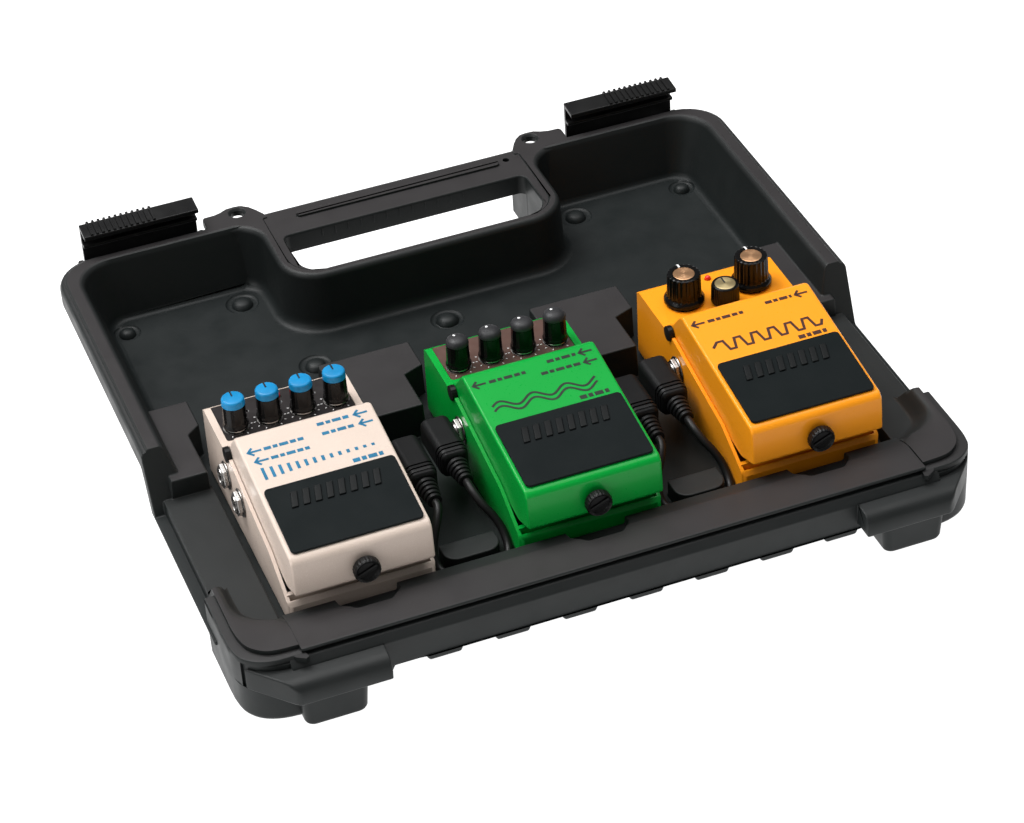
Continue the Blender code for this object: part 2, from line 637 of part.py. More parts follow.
def housing(name, pedal):
    bm = bmesh.new()
    prism_into(bm, HOUSING_PROFILE, "X", -HOUSING_HALF, HOUSING_HALF)
    body = finish(bm, f"{name}_housing", PAINTS[name], pedal, smooth=True)
    inner = (-HOUSING_INNER, HOUSING_INNER)
    tool_box(body, "DIFFERENCE", f"{name}_bay", inner, BAY, (-THROUGH, THROUGH * 2), pedal)
    tool_box(body, "DIFFERENCE", f"{name}_rear_bay", inner, REAR_BAY, (-THROUGH, DECK_UNDERSIDE), pedal)
    front, low, high = INNER_DECK
    tool_box(body, "DIFFERENCE", f"{name}_passage", (-HOUSING_INNER + 0.2, HOUSING_INNER - 0.2), (80.0, 100.0),
             (-THROUGH, low - 0.2), pedal)
    for side, word in ((-1, "left"), (1, "right")):
        across = sorted((side * (INNER_DECK_HALF + 0.7), side * (HOUSING_INNER - 0.1)))
        tool_box(body, "DIFFERENCE", f"{name}_jack_bay_{word}", across, (80.1, 100.1), (0.0, JACK_BAY_TOP), pedal)
    deck = ((front, 3.0), (front + 2.0, 3.0), (front + 2.0, low), (BAY[1] + 1.0, low), (BAY[1] + 1.0, high),
            (front, high))
    tool_prism(body, "UNION", f"{name}_inner_deck", deck, "X", -INNER_DECK_HALF, INNER_DECK_HALF, pedal)
    half, y0, y1, _ = SWITCH
    tool_box(body, "DIFFERENCE", f"{name}_switch_hole", (-half - 1, half + 1), (y0 - 1, y1 + 1), (low - 3, high + 3),
             pedal)
    wall = (-HOUSING_INNER - 0.6, HOUSING_INNER + 0.6)
    tool_box(body, "UNION", f"{name}_cross_wall", wall, CROSS_WALL[:2], (3.5, CROSS_WALL[2]), pedal)
    tool_box(body, "UNION", f"{name}_boss", (-BOSS_HALF, BOSS_HALF), BOSS_Y, (3.7, BOSS_TOP), pedal)
    tool_box(body, "DIFFERENCE", f"{name}_boss_slot", (-BOSS_SLOT_HALF, BOSS_SLOT_HALF),
             (BOSS_Y[0] - 2.0, BOSS_Y[1] + 2.0), (BOSS_SLOT_FLOOR, THROUGH), pedal)
    bm = bmesh.new()
    for side, y, _ in JACKS[name]:
        ends = sorted((side * (HOUSING_INNER - 4.0), side * (HOUSING_HALF + 4.0)))
        turned_into(bm, ((0.0, ends[0]), (JACK_HOLE, ends[0]), (JACK_HOLE, ends[1]), (0.0, ends[1])), "X",
                    (y, JACK_Z), SMALL_ROUND)
    combine(body, finish(bm, f"{name}_jack_holes", PAINTS[name], pedal), "DIFFERENCE")
    reach = (-HOUSING_HALF - 4.0, HOUSING_HALF + 4.0)
    tool_round(body, "DIFFERENCE", f"{name}_bush_notch", BUSH_BORE, "X", HINGE, reach, pedal)
    if name != "orange":
        half, y0, y1, z0 = PLATE_RECESS
        tool_box(body, "DIFFERENCE", f"{name}_plate_recess", (-half, half), (y0, y1), (z0, THROUGH), pedal)
    shaft_holes(body, name, pedal)
    return body


def shaft_holes(target, name, pedal):
    """Holes for the knobs' shafts and for the check light."""
    bm = bmesh.new()
    profile = ((0.0, 31.0), (KNOB_BORE, 31.0), (KNOB_BORE, THROUGH), (0.0, THROUGH))
    for _, (x, y, _), _ in PEDAL_KNOBS[name]:
        turned_into(bm, profile, "Z", (x, y), 12)
    profile = ((0.0, 31.0), (LED_BORE, 31.0), (LED_BORE, THROUGH), (0.0, THROUGH))
    turned_into(bm, profile, "Z", LED, 12)
    combine(target, finish(bm, f"{target.name}_shaft_holes", PAINTS[name], pedal), "DIFFERENCE")


def treadle_surface(y, offset):
    """A point above the treadle's tilted top."""
    start = Vector(TREADLE_PROFILE[2])
    end = Vector(TREADLE_PROFILE[3])
    run = (end - start).normalized()
    here = start + run * ((y - start.x) / run.x)
    return tuple(here + Vector((-run.y, run.x)) * offset)


def treadle(name, pedal):
    origin = (0.0, *HINGE)
    bm = bmesh.new()
    prism_into(bm, TREADLE_PROFILE, "X", -TREADLE_HALF, TREADLE_HALF, origin)
    body = finish(bm, f"{name}_treadle", PAINTS[name], pedal, origin, smooth=True)
    inner = TREADLE_HALF - TREADLE_SKIN
    tool_prism(body, "DIFFERENCE", f"{name}_treadle_cavity", TREADLE_CAVITY, "X", -inner, inner, pedal, origin)
    tool_round(body, "DIFFERENCE", f"{name}_pin_bore", PIN_BORE, "X", HINGE, (-THROUGH, THROUGH), pedal, 12, origin)
    tool_round(body, "DIFFERENCE", f"{name}_screw_hole", SHANK_BORE, "Y", (0.0, SCREW_Z), (-14.0, 0.0), pedal,
               SMALL_ROUND, origin)

    bm = bmesh.new()
    outline = [treadle_surface(PAD_Y[0], GAP), treadle_surface(PAD_Y[1], GAP),
               treadle_surface(PAD_Y[1], GAP + PAD_THICKNESS), treadle_surface(PAD_Y[0], GAP + PAD_THICKNESS)]
    prism_into(bm, outline, "X", -PAD_HALF, PAD_HALF, origin)
    finish(bm, f"{name}_tread_pad", RUBBER, pedal, origin)


def hinge_pin(name, pedal):
    bush = HOUSING_INNER
    profile = ((0.0, -BUSH_END), (BUSH_RADIUS, -BUSH_END), (BUSH_RADIUS, -bush), (PIN_RADIUS, -bush),
               (PIN_RADIUS, bush), (BUSH_RADIUS, bush), (BUSH_RADIUS, BUSH_END), (0.0, BUSH_END))
    bm = bmesh.new()
    origin = (0.0, *HINGE)
    turned_into(bm, profile, "X", HINGE, SMALL_ROUND, origin)
    finish(bm, f"{name}_hinge_pin", BLACK, pedal, origin, smooth=True)


def thumbscrew(name, pedal):
    head_front, head_rear = SCREW_HEAD
    origin = (0.0, head_front, SCREW_Z)
    profile = ((0.0, head_front), (SCREW_RADIUS - 0.8, head_front), (SCREW_RADIUS, head_front + 0.8),
               (SCREW_RADIUS, head_rear), (SHANK_RADIUS, head_rear), (SHANK_RADIUS, SHANK_END),
               (0.0, SHANK_END))
    bm = bmesh.new()
    turned_into(bm, profile, "Y", (0.0, SCREW_Z), ROUND, origin)
    screw = finish(bm, f"{name}_thumbscrew", BLACK, pedal, origin, smooth=True)
    tool_box(screw, "DIFFERENCE", f"{name}_coin_slot", (-THROUGH, THROUGH), (head_front - 2.0, head_front + 1.4),
             (SCREW_Z - 0.9, SCREW_Z + 0.9), pedal, origin)


def return_spring(name, pedal):
    """A round-wire coil, modelled as a tube along its helix."""
    curve = bpy.data.curves.new(f"{name}_return_spring", "CURVE")
    curve.dimensions = "3D"
    curve.bevel_depth = SPRING_WIRE * MM
    curve.bevel_resolution = 1
    curve.use_fill_caps = True
    curve.resolution_u = 1
    count = int(SPRING_TURNS * 9) + 1
    spline = curve.splines.new("POLY")
    spline.points.add(count - 1)
    for i, point in enumerate(spline.points):
        part = i / (count - 1)
        angle = 2 * math.pi * SPRING_TURNS * part
        height = SPRING_Z[0] + (SPRING_Z[1] - SPRING_Z[0]) * part
        point.co = (SPRING_RADIUS * math.cos(angle) * MM, SPRING_RADIUS * math.sin(angle) * MM, height * MM, 1.0)
    curve.materials.append(STEEL)
    obj = bpy.data.objects.new(f"{name}_return_spring", curve)
    bpy.context.scene.collection.objects.link(obj)
    obj.parent = pedal
    obj.location = (0.0, SPRING_Y * MM, 0.0)


def inner_parts(name, pedal):
    half, y0, y1, z0, z1 = BASE_PLATE
    bm = bmesh.new()
    outline = rounded_outline((-half, half), (y0, y1), 3.0, 3.0, 3)
    prism_into(bm, outline, "Z", z0, z1)
    finish(bm, f"{name}_base_plate", STEEL, pedal)

    half, y0, y1, z0, z1 = BOARD
    bm = bmesh.new()
    box_into(bm, (-half, half), (y0, y1), (z0, z1))
    board = finish(bm, f"{name}_circuit_board", LAMINATE, pedal)
    half, y0, y1, top = SWITCH
    tool_box(board, "UNION", f"{name}_switch", (-half, half), (y0, y1), (z0 + 0.4, top), pedal)

    bm = bmesh.new()
    profile = ((0.0, 36.0), (LED_RADIUS, 36.0), (LED_RADIUS, LED_TOP - 1.0), (LED_RADIUS * 0.7, LED_TOP - 0.25),
               (0.0, LED_TOP))
    turned_into(bm, profile, "Z", LED, 12)
    finish(bm, f"{name}_check_led", RED_LENS, pedal, smooth=True)


def control_plate(name, pedal):
    half, y0, y1, z0, z1 = CONTROL_PLATE
    bm = bmesh.new()
    box_into(bm, (-half, half), (y0, y1), (z0, z1))
    plate = finish(bm, f"{name}_control_plate", BLACK if name == "white" else BROWN, pedal)
    shaft_holes(plate, name, pedal)


def knobs(name, pedal):
    for word, (x, y, profile), mat in PEDAL_KNOBS[name]:
        origin = (x, y, profile[3][1])
        bm = bmesh.new()
        turned_into(bm, profile, "Z", (x, y), SMALL_ROUND, origin)
        finish(bm, f"{name}_{word}", mat, pedal, origin, smooth=True)


def jacks(name, pedal):
    start, end, radius = JACK_BUSHING
    nut_start, nut_end, nut_radius = JACK_NUT
    half = ((JACK_BORE, start), (radius, start), (radius, nut_start), (nut_radius, nut_start),
            (nut_radius, nut_end), (radius, nut_end), (radius, end), (JACK_BORE, end))
    for side, y, word in JACKS[name]:
        bm = bmesh.new()
        turned_into(bm, [(r, side * x) for r, x in half], "X", (y, JACK_Z), SMALL_ROUND)
        hand = "left" if side < 0 else "right"
        label = hand if word == "only" else f"{hand}_{word}"
        finish(bm, f"{name}_jack_{label}", CHROME, pedal, smooth=True)


# ---------------------------------------------------------------- plugs and cords

def plug(name, pedal, side, y):
    """A right-angle plug: a shaft in the jack, a square body that points forward and a tapered relief."""
    start = side * PLUG_START
    end = side * (PLUG_START + PLUG_SIDE)
    x = sorted((start, end))
    middle = (start + end) / 2
    z = (JACK_Z - PLUG_SIDE / 2, JACK_Z + PLUG_SIDE / 2)
    rear = y + PLUG_SIDE / 2
    nose = rear - PLUG_BODY
    outline = rounded_outline(x, z, 3.0, 3.0, 3)
    bm = bmesh.new()
    prism_into(bm, outline, "Y", nose, rear)
    body = finish(bm, name, BLACK, pedal, smooth=True)
    reach = sorted((side * PLUG_SHAFT_END, side * (PLUG_START + 3.0)))
    tool_round(body, "UNION", f"{name}_shaft", PLUG_SHAFT_RADIUS, "X", (y, JACK_Z), reach, pedal)
    bm = bmesh.new()
    big, small = RELIEF_RADII
    tail = nose - PLUG_RELIEF
    turned_into(bm, ((0.0, tail), (small, tail), (big, nose), (big, nose + 2.0), (0.0, nose + 2.0)), "Y",
                (middle, JACK_Z), SMALL_ROUND)
    combine(body, finish(bm, f"{name}_relief", BLACK, pedal), "UNION")


def smooth_route(route, step):
    """Evenly spaced points on the smooth curve through a route's own points."""
    spots = [Vector(p) for p in route]
    ends = [spots[0] * 2 - spots[1], *spots, spots[-1] * 2 - spots[-2]]
    fine = []
    for a, b, c, d in zip(ends, ends[1:], ends[2:], ends[3:]):
        for i in range(12):
            t = i / 12
            fine.append(0.5 * (2 * b + (c - a) * t + (2 * a - 5 * b + 4 * c - d) * t * t
                               + (3 * b - a - 3 * c + d) * t ** 3))
    fine.append(spots[-1])
    lengths = [0.0]
    for a, b in zip(fine, fine[1:]):
        lengths.append(lengths[-1] + (b - a).length)
    count = max(2, round(lengths[-1] / step))
    points = []
    index = 0
    for i in range(count + 1):
        goal = lengths[-1] * i / count
        while index < len(fine) - 2 and lengths[index + 1] < goal:
            index += 1
        span = lengths[index + 1] - lengths[index]
        points.append(fine[index].lerp(fine[index + 1], (goal - lengths[index]) / span))
    return points


def patch_cord(name, board, centre):
    curve = bpy.data.curves.new(name, "CURVE")
    curve.dimensions = "3D"
    curve.bevel_depth = CORD_DIAMETER / 2 * MM
    curve.bevel_resolution = 2
    curve.use_fill_caps = True
    curve.resolution_u = 1
    points = smooth_route([(centre + u, y, z) for u, y, z in CORD_ROUTE], CORD_STEP)
    spline = curve.splines.new("POLY")
    spline.points.add(len(points) - 1)
    for target, spot in zip(spline.points, points):
        target.co = (*(spot * MM), 1.0)
    curve.materials.append(RUBBER)
    obj = bpy.data.objects.new(name, curve)
    bpy.context.scene.collection.objects.link(obj)
    obj.parent = board


# ---------------------------------------------------------------- assembly

def build():
    board = empty("pedalboard_frame", None, (0.0, -Y_CENTRE, -FLOOR))
    build_case(board)
    for side, word in ((-1, "left"), (1, "right")):
        build_latch(board, side, word)
    frames = {}
    for name, x in PEDAL_X.items():
        pedal = empty(f"{name}_pedal_frame", board, (x, 0.0, 0.0))
        frames[name] = pedal
        housing(name, pedal)
        treadle(name, pedal)
        hinge_pin(name, pedal)
        thumbscrew(name, pedal)
        return_spring(name, pedal)
        inner_parts(name, pedal)
        if name != "orange":
            control_plate(name, pedal)
        knobs(name, pedal)
        jacks(name, pedal)
    names = list(PEDAL_X)
    for left, right, centre in zip(names, names[1:], gap_centres()):
        cord = f"cord_{left}_to_{right}"
        plug(f"{cord}_plug_out", frames[right], -1, 75.0)
        plug(f"{cord}_plug_in", frames[left], 1, 67.0)
        patch_cord(cord, board, centre)


build()
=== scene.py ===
"""Looks for the carrying-case pedalboard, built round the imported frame.

Pieces are modelled in millimetres in the board frame: X across, Y from the front bar to the handle,
Z up, with the pedals' toes at Y = 0 and their undersides at Z = 0. TO_WORLD takes them to metres.
"""
import math

import bmesh
import bpy
from mathutils import Matrix, Vector


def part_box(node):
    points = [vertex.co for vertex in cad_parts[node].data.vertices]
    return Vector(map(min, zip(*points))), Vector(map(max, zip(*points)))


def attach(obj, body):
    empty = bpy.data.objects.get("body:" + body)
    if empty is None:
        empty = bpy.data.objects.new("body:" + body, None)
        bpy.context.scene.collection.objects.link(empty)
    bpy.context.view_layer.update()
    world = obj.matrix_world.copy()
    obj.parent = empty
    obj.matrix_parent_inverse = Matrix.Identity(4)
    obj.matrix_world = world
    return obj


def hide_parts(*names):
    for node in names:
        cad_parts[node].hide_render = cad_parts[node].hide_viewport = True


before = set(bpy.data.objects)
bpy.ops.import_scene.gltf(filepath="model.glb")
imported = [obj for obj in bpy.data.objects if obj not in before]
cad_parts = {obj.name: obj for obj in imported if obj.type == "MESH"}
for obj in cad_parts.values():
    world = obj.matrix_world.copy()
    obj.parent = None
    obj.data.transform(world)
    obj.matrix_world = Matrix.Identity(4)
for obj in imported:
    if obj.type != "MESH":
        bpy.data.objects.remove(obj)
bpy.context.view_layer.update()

MM = 0.001
Y_CENTRE = 121.0
FLOOR = -18.7
TO_WORLD = Matrix.Scale(MM, 4) @ Matrix.Translation((0.0, -Y_CENTRE, -FLOOR))


def middle_x(node):
    """The middle of a CAD node across the board, in millimetres."""
    low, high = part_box(node)
    return round((low[0] + high[0]) / 2 / MM, 3)


PEDAL_X = {name: middle_x(f"{name}_housing") for name in ("white", "green", "orange")}
CORDS = {"white_to_green": ("white", "green"), "green_to_orange": ("green", "orange")}
GAPS = {name: (PEDAL_X[left] + PEDAL_X[right]) / 2 for name, (left, right) in CORDS.items()}


# ======== materials

class Nodes:
    """A material's node tree, with short calls for the nodes that these materials use."""

    def __init__(self, name, colour, roughness, metallic=0.0, specular=0.35):
        self.material = bpy.data.materials.new(name)
        self.material.use_nodes = True
        self.tree = self.material.node_tree
        self.shader = self.tree.nodes["Principled BSDF"]
        self.shader.inputs["Base Color"].default_value = (*colour, 1.0)
        self.shader.inputs["Roughness"].default_value = roughness
        self.shader.inputs["Metallic"].default_value = metallic
        self.shader.inputs["Specular IOR Level"].default_value = 0.5 if metallic else specular
        self.colour = colour
        self.place = self.node("TexCoord")

    def node(self, kind, **values):
        """A new node with its inputs set by name, where _ stands for a space."""
        node = self.tree.nodes.new("ShaderNode" + kind)
        for name, value in values.items():
            node.inputs[name.replace("_", " ")].default_value = value
        return node

    def link(self, a, b):
        self.tree.links.new(a, b)

    def noise(self, scale, detail=3.0, stretch=None):
        node = self.node("TexNoise", Scale=scale, Detail=detail)
        source = self.place.outputs["Object"]
        if stretch:
            mapping = self.node("Mapping", Scale=stretch)
            self.link(source, mapping.inputs["Vector"])
            source = mapping.outputs["Vector"]
        self.link(source, node.inputs["Vector"])
        return node.outputs["Fac"]

    def spread(self, value, low, high, start=0.3, end=0.7):
        """low up to start, high from end on, and a straight run between them."""
        node = self.node("MapRange", From_Min=start, From_Max=end, To_Min=low, To_Max=high)
        self.link(value, node.inputs["Value"])
        return node.outputs["Result"]

    def mix(self, factor, first, second):
        """first and second are colours or sockets."""
        node = self.node("Mix")
        node.data_type = "RGBA"
        self.link(factor, node.inputs[0])
        for socket, value in ((node.inputs[6], first), (node.inputs[7], second)):
            if isinstance(value, tuple):
                socket.default_value = (*value, 1.0)
            else:
                self.link(value, socket)
        return node.outputs[2]

    def mottle(self, scale, other, amount=1.0):
        """The base colour drifts towards another one in soft patches."""
        patches = self.spread(self.noise(scale, 4.0), 0.0, amount)
        self.base(self.mix(patches, self.colour, other))

    def base(self, socket):
        self.link(socket, self.shader.inputs["Base Color"])

    def upward(self, source):
        """The Z part of a vector."""
        node = self.node("SeparateXYZ")
        self.link(source, node.inputs[0])
        return node.outputs["Z"]

    def roughness(self, scale, low, high, stretch=None):
        value = self.spread(self.noise(scale, 4.0, stretch=stretch), low, high)
        self.link(value, self.shader.inputs["Roughness"])

    def bump(self, height, strength, distance):
        node = self.node("Bump", Strength=strength, Distance=distance)
        self.link(height, node.inputs["Height"])
        self.link(node.outputs["Normal"], self.shader.inputs["Normal"])

    def grain(self, scale, strength):
        self.bump(self.noise(scale, 2.0), strength, 0.0001)


def moulded(name, colour, other, roughness, grain_scale, grain_strength, specular=0.28):
    """Moulded plastic or rubber: soft patches of a second colour and a fine grain."""
    made = Nodes(name, colour, roughness, specular=specular)
    made.mottle(24.0, other)
    made.roughness(60.0, roughness - 0.06, roughness + 0.08)
    made.grain(grain_scale, grain_strength)
    return made.material


def paint(name, colour, other, flake):
    """Enamel over die-cast metal: a clear coat, faint orange peel and fine flakes."""
    made = Nodes(name, colour, 0.34, specular=0.18)
    made.shader.inputs["Coat Weight"].default_value = 0.16
    made.shader.inputs["Coat Roughness"].default_value = 0.12
    patches = made.spread(made.noise(30.0, 3.0), 0.0, 0.6)
    base = made.mix(patches, colour, other)
    if flake:
        sparks = made.spread(made.noise(5200.0, 1.0), 0.0, 0.5, 0.56, 0.72)
        base = made.mix(sparks, base, flake)
    made.base(base)
    made.roughness(900.0, 0.26, 0.42)
    made.grain(1400.0, 0.05)
    return made.material


def metal(name, colour, roughness, brushed=None):
    """Bare metal, with its roughness streaked along one axis where brushed stretches it."""
    made = Nodes(name, colour, roughness, 1.0)
    made.roughness(500.0, roughness * 0.7, roughness * 1.5, stretch=brushed)
    made.mottle(300.0, tuple(c * 0.82 for c in colour), 0.7)
    return made.material


def spun_metal(name, colour):
    """A disc turned on a lathe: fine rings in its colour and its surface."""
    made = Nodes(name, colour, 0.32, 1.0)
    centre = made.node("VectorMath")
    centre.operation = "SUBTRACT"
    centre.inputs[1].default_value = (0.5, 0.5, 0.5)
    made.link(made.place.outputs["Generated"], centre.inputs[0])
    rings = made.node("TexWave", Scale=9.0, Distortion=0.6)
    rings.wave_type = "RINGS"
    rings.rings_direction = "Z"
    made.link(centre.outputs[0], rings.inputs["Vector"])
    made.base(made.mix(rings.outputs["Fac"], colour, tuple(c * 0.8 for c in colour)))
    made.bump(rings.outputs["Fac"], 0.35, 0.00008)
    return made.material


def plain(name, colour, roughness):
    """A small part's finish: one colour with a little drift and a fine surface."""
    made = Nodes(name, colour, roughness)
    made.mottle(120.0, tuple(min(1.0, c * 1.25 + 0.004) for c in colour))
    made.roughness(300.0, roughness * 0.8, min(1.0, roughness * 1.2))
    made.grain(700.0, 0.12)
    return made.material


def case_plastic():
    """Black moulded plastic with painted light: painted shade low down and on its walls, and a warmer painted
    highlight on its raised tops that face up.
    """
    # Heights over which the painted shade low down and the painted highlight on raised tops fade in.
    low_shade_fade = (0.0190, 0.0255)
    top_highlight_fade = (0.0325, 0.0352)
    made = Nodes("case_plastic", (0.0160, 0.0180, 0.0180), 0.5, specular=0.26)
    made.mottle(24.0, (0.0195, 0.0210, 0.0210))
    colour = made.shader.inputs["Base Color"].links[0].from_socket
    height = made.upward(made.place.outputs["Object"])
    facing = made.upward(made.node("NewGeometry").outputs["Normal"])
    # Painted shade: walls and other steep faces are darker than faces that look up.
    colour = made.mix(made.spread(facing, 0.75, 0.0, 0.25, 0.75), colour, (0.0080, 0.0105, 0.0103))
    # Painted shade: darker towards the bottom, at the tray's floor and below.
    colour = made.mix(made.spread(height, 0.85, 0.0, *low_shade_fade), colour, (0.0078, 0.0106, 0.0108))
    # Painted highlight: raised tops that face up are lighter and warmer.
    raised = made.node("Math")
    raised.operation = "MULTIPLY"
    made.link(made.spread(height, 0.0, 1.0, *top_highlight_fade), raised.inputs[0])
    made.link(made.spread(facing, 0.0, 1.0, 0.93, 0.99), raised.inputs[1])
    made.base(made.mix(raised.outputs[0], colour, (0.0290, 0.0268, 0.0275)))
    made.roughness(60.0, 0.40, 0.54)
    made.grain(1500.0, 0.2)
    return made.material


CASE = case_plastic()
LATCH = moulded("latch_plastic", (0.006, 0.006, 0.0065), (0.009, 0.009, 0.009), 0.32, 1800.0, 0.08)
PLUG = moulded("plug_plastic", (0.0045, 0.0045, 0.005), (0.007, 0.007, 0.0075),
               0.46, 1500.0, 0.16, specular=0.2)
JACKET = moulded("cord_jacket", (0.005, 0.005, 0.0055), (0.008, 0.0075, 0.0075), 0.40, 1200.0, 0.1)
RUBBER = moulded("pad_rubber", (0.0050, 0.0078, 0.0084), (0.0068, 0.0096, 0.0102),
                 0.60, 2200.0, 0.3, specular=0.09)
EMBOSS = moulded("pad_emboss", (0.0030, 0.0042, 0.0045), (0.0042, 0.0054, 0.0056),
                 0.40, 2200.0, 0.05, specular=0.16)
KNOB = moulded("knob_plastic", (0.0022, 0.0022, 0.0024), (0.0034, 0.0034, 0.0036),
               0.22, 900.0, 0.03, specular=0.22)
SCREW = moulded("screw_plastic", (0.0035, 0.0035, 0.0038), (0.006, 0.006, 0.006),
                0.36, 1600.0, 0.1, specular=0.22)
PAINTS = {"white": paint("pearl_paint", (0.66, 0.54, 0.46), (0.71, 0.59, 0.51), (0.92, 0.83, 0.74)),
          "green": paint("green_paint", (0.0, 0.325, 0.038), (0.0, 0.35, 0.043), None),
          "orange": paint("orange_paint", (0.98, 0.33, 0.010), (1.0, 0.36, 0.014), None)}
PRINTS = {"white": plain("blue_print", (0.0, 0.135, 0.26), 0.4),
          "green": plain("dark_print", (0.006, 0.014, 0.008), 0.4),
          "orange": plain("brown_print", (0.045, 0.010, 0.004), 0.4)}
PANELS = {"white": plain("black_panel", (0.016, 0.013, 0.013), 0.35),
          "green": plain("brown_panel", (0.085, 0.045, 0.035), 0.38)}
WHITE_INK = plain("white_ink", (0.85, 0.85, 0.85), 0.4)
BLUE_CAP = plain("blue_cap", (0.0, 0.205, 0.45), 0.42)
GREY_CAP = plain("grey_cap", (0.017, 0.017, 0.019), 0.5)
DARK_INK = plain("dark_ink", (0.006, 0.008, 0.012), 0.5)
NICKEL = metal("jack_nickel", (0.42, 0.405, 0.39), 0.27)
STEEL = metal("plate_steel", (0.48, 0.48, 0.49), 0.36, brushed=(1.0, 12.0, 1.0))
SPRING = metal("spring_steel", (0.52, 0.52, 0.52), 0.3)
COPPER = spun_metal("spun_copper", (0.88, 0.50, 0.27))
GOLD = spun_metal("spun_gold", (0.86, 0.68, 0.36))
LAMP = plain("lamp_red", (0.75, 0.02, 0.01), 0.18)
LAMP.node_tree.nodes["Principled BSDF"].inputs["Coat Weight"].default_value = 0.6
LAMINATE = plain("board_laminate", (0.02, 0.12, 0.05), 0.45)


# ======== mesh helpers

SHARP_ANGLE = math.radians(50.0)


def loft_into(bm, rings):
    """Skin between rings with the same number of points, with a flat cap at each end."""
    made = [[bm.verts.new(p) for p in ring] for ring in rings]
    count = len(made[0])
    for low, high in zip(made, made[1:]):
        for i in range(count):
            j = (i + 1) % count
            bm.faces.new((low[i], low[j], high[j], high[i]))
    bm.faces.new(made[0][::-1])
    bm.faces.new(made[-1])


def loft(rings):
    bm = bmesh.new()
    loft_into(bm, rings)
    bmesh.ops.recalc_face_normals(bm, faces=bm.faces[:])
    return bm


def on_axis(axis, a, b, t):
    """The point at t along an axis: (a, b) is (y, z) beside X, (x, z) beside Y or (x, y) beside Z."""
    return {"X": (t, a, b), "Y": (a, t, b), "Z": (a, b, t)}[axis]


def prism(outline, axis, low, high):
    """Extrude an outline along an axis."""
    return loft([[on_axis(axis, a, b, t) for a, b in outline] for t in (low, high)])


def box(x, y, z):
    return prism(((x[0], y[0]), (x[1], y[0]), (x[1], y[1]), (x[0], y[1])), "Z", z[0], z[1])


def turned(profile, axis, centre, sides, flutes=None):
    """Turn (radius, station) points about a line. flutes is (count, depth, first station, last station)."""
    bm = bmesh.new()
    rings = []
    for radius, station in profile:
        count = sides if radius > 0 else 1
        ring = []
        for i in range(count):
            angle = 2 * math.pi * (i + 0.5) / sides
            here = radius
            if flutes and flutes[2] <= station <= flutes[3]:
                here -= flutes[1] * (0.5 + 0.5 * math.cos(flutes[0] * angle)) ** 2
            spot = (centre[0] + here * math.cos(angle), centre[1] + here * math.sin(angle))
            ring.append(bm.verts.new(on_axis(axis, *spot, station)))
        rings.append(ring)
    pairs = list(zip(rings, rings[1:]))
    if profile[0][0] > 0:
        pairs.append((rings[-1], rings[0]))
    for low, high in pairs:
        for i in range(sides):
            j = (i + 1) % sides
            if len(low) == 1:
                bm.faces.new((low[0], high[j], high[i]))
            elif len(high) == 1:
                bm.faces.new((low[i], low[j], high[0]))
            else:
                bm.faces.new((low[i], low[j], high[j], high[i]))
    bmesh.ops.recalc_face_normals(bm, faces=bm.faces[:])
    return bm


def rod(radius, axis, centre, low, high, sides=32):
    return turned(((0.0, low), (radius, low), (radius, high), (0.0, high)), axis, centre, sides)


def arc(x, y, radius, start, turn, steps):
    """Points on a circle about x, y, from an angle and through a turn in degrees."""
    angles = [math.radians(start + turn * i / steps) for i in range(steps + 1)]
    return [(x + radius * math.cos(a), y + radius * math.sin(a)) for a in angles]


def rounded(x, y, front_radius, rear_radius, steps=10):
    """A rectangle in plan with its two front and its two rear corners rounded."""
    corners = ((x[0], y[0], 180, front_radius), (x[1], y[0], 270, front_radius),
               (x[1], y[1], 0, rear_radius), (x[0], y[1], 90, rear_radius))
    points = []
    for cx, cy, start, radius in corners:
        if radius > 0:
            mid_x = cx + radius if cx == x[0] else cx - radius
            mid_y = cy + radius if cy == y[0] else cy - radius
            points += arc(mid_x, mid_y, radius, start, 90, steps)
        else:
            points.append((cx, cy))
    return points


def lift(outline, z):
    return [(x, y, z) for x, y in outline]


def stacked(*levels):
    """A loft of plan outlines, given as (outline, height)."""
    return loft([lift(outline, z) for outline, z in levels])


def mirrored(points, side):
    """Points given for the right half, taken to the side asked for (-1 left, 1 right)."""
    return [(side * p[0], *p[1:]) for p in points]


def span(side, a, b):
    return sorted((side * a, side * b))


def placed(name, data):
    """An object in the scene that holds a mesh, curve, camera or light."""
    obj = bpy.data.objects.new(name, data)
    bpy.context.scene.collection.objects.link(obj)
    return obj


def mesh_from(name, bm):
    mesh = bpy.data.meshes.new(name)
    bm.to_mesh(mesh)
    bm.free()
    return mesh


def merged(*shapes):
    """Several bmeshes as one, without joining their surfaces."""
    out = bmesh.new()
    for shape in shapes:
        mesh = mesh_from("part", shape)
        out.from_mesh(mesh)
        bpy.data.meshes.remove(mesh)
    return out


def evaluated(obj, extras=()):
    """The object's mesh with its modifiers applied, as a bmesh. The objects are removed."""
    graph = bpy.context.evaluated_depsgraph_get()
    made = obj.evaluated_get(graph)
    out = bmesh.new()
    out.from_mesh(made.to_mesh())
    made.to_mesh_clear()
    for old in (obj, *extras):
        mesh = old.data
        bpy.data.objects.remove(old, do_unlink=True)
        bpy.data.meshes.remove(mesh)
    return out


def cut(shape):
    return ("DIFFERENCE", shape)


def add(shape):
    return ("UNION", shape)


def combined(bm, steps):
    """Apply cut(...) and add(...) steps in order."""
    obj = placed("target", mesh_from("target", bm))
    tools = []
    for operation, tool in steps:
        tools.append(placed("tool", mesh_from("tool", tool)))
        modifier = obj.modifiers.new("step", "BOOLEAN")
        modifier.operation = operation
        modifier.solver = "EXACT"
        modifier.object = tools[-1]
    return evaluated(obj, tools)


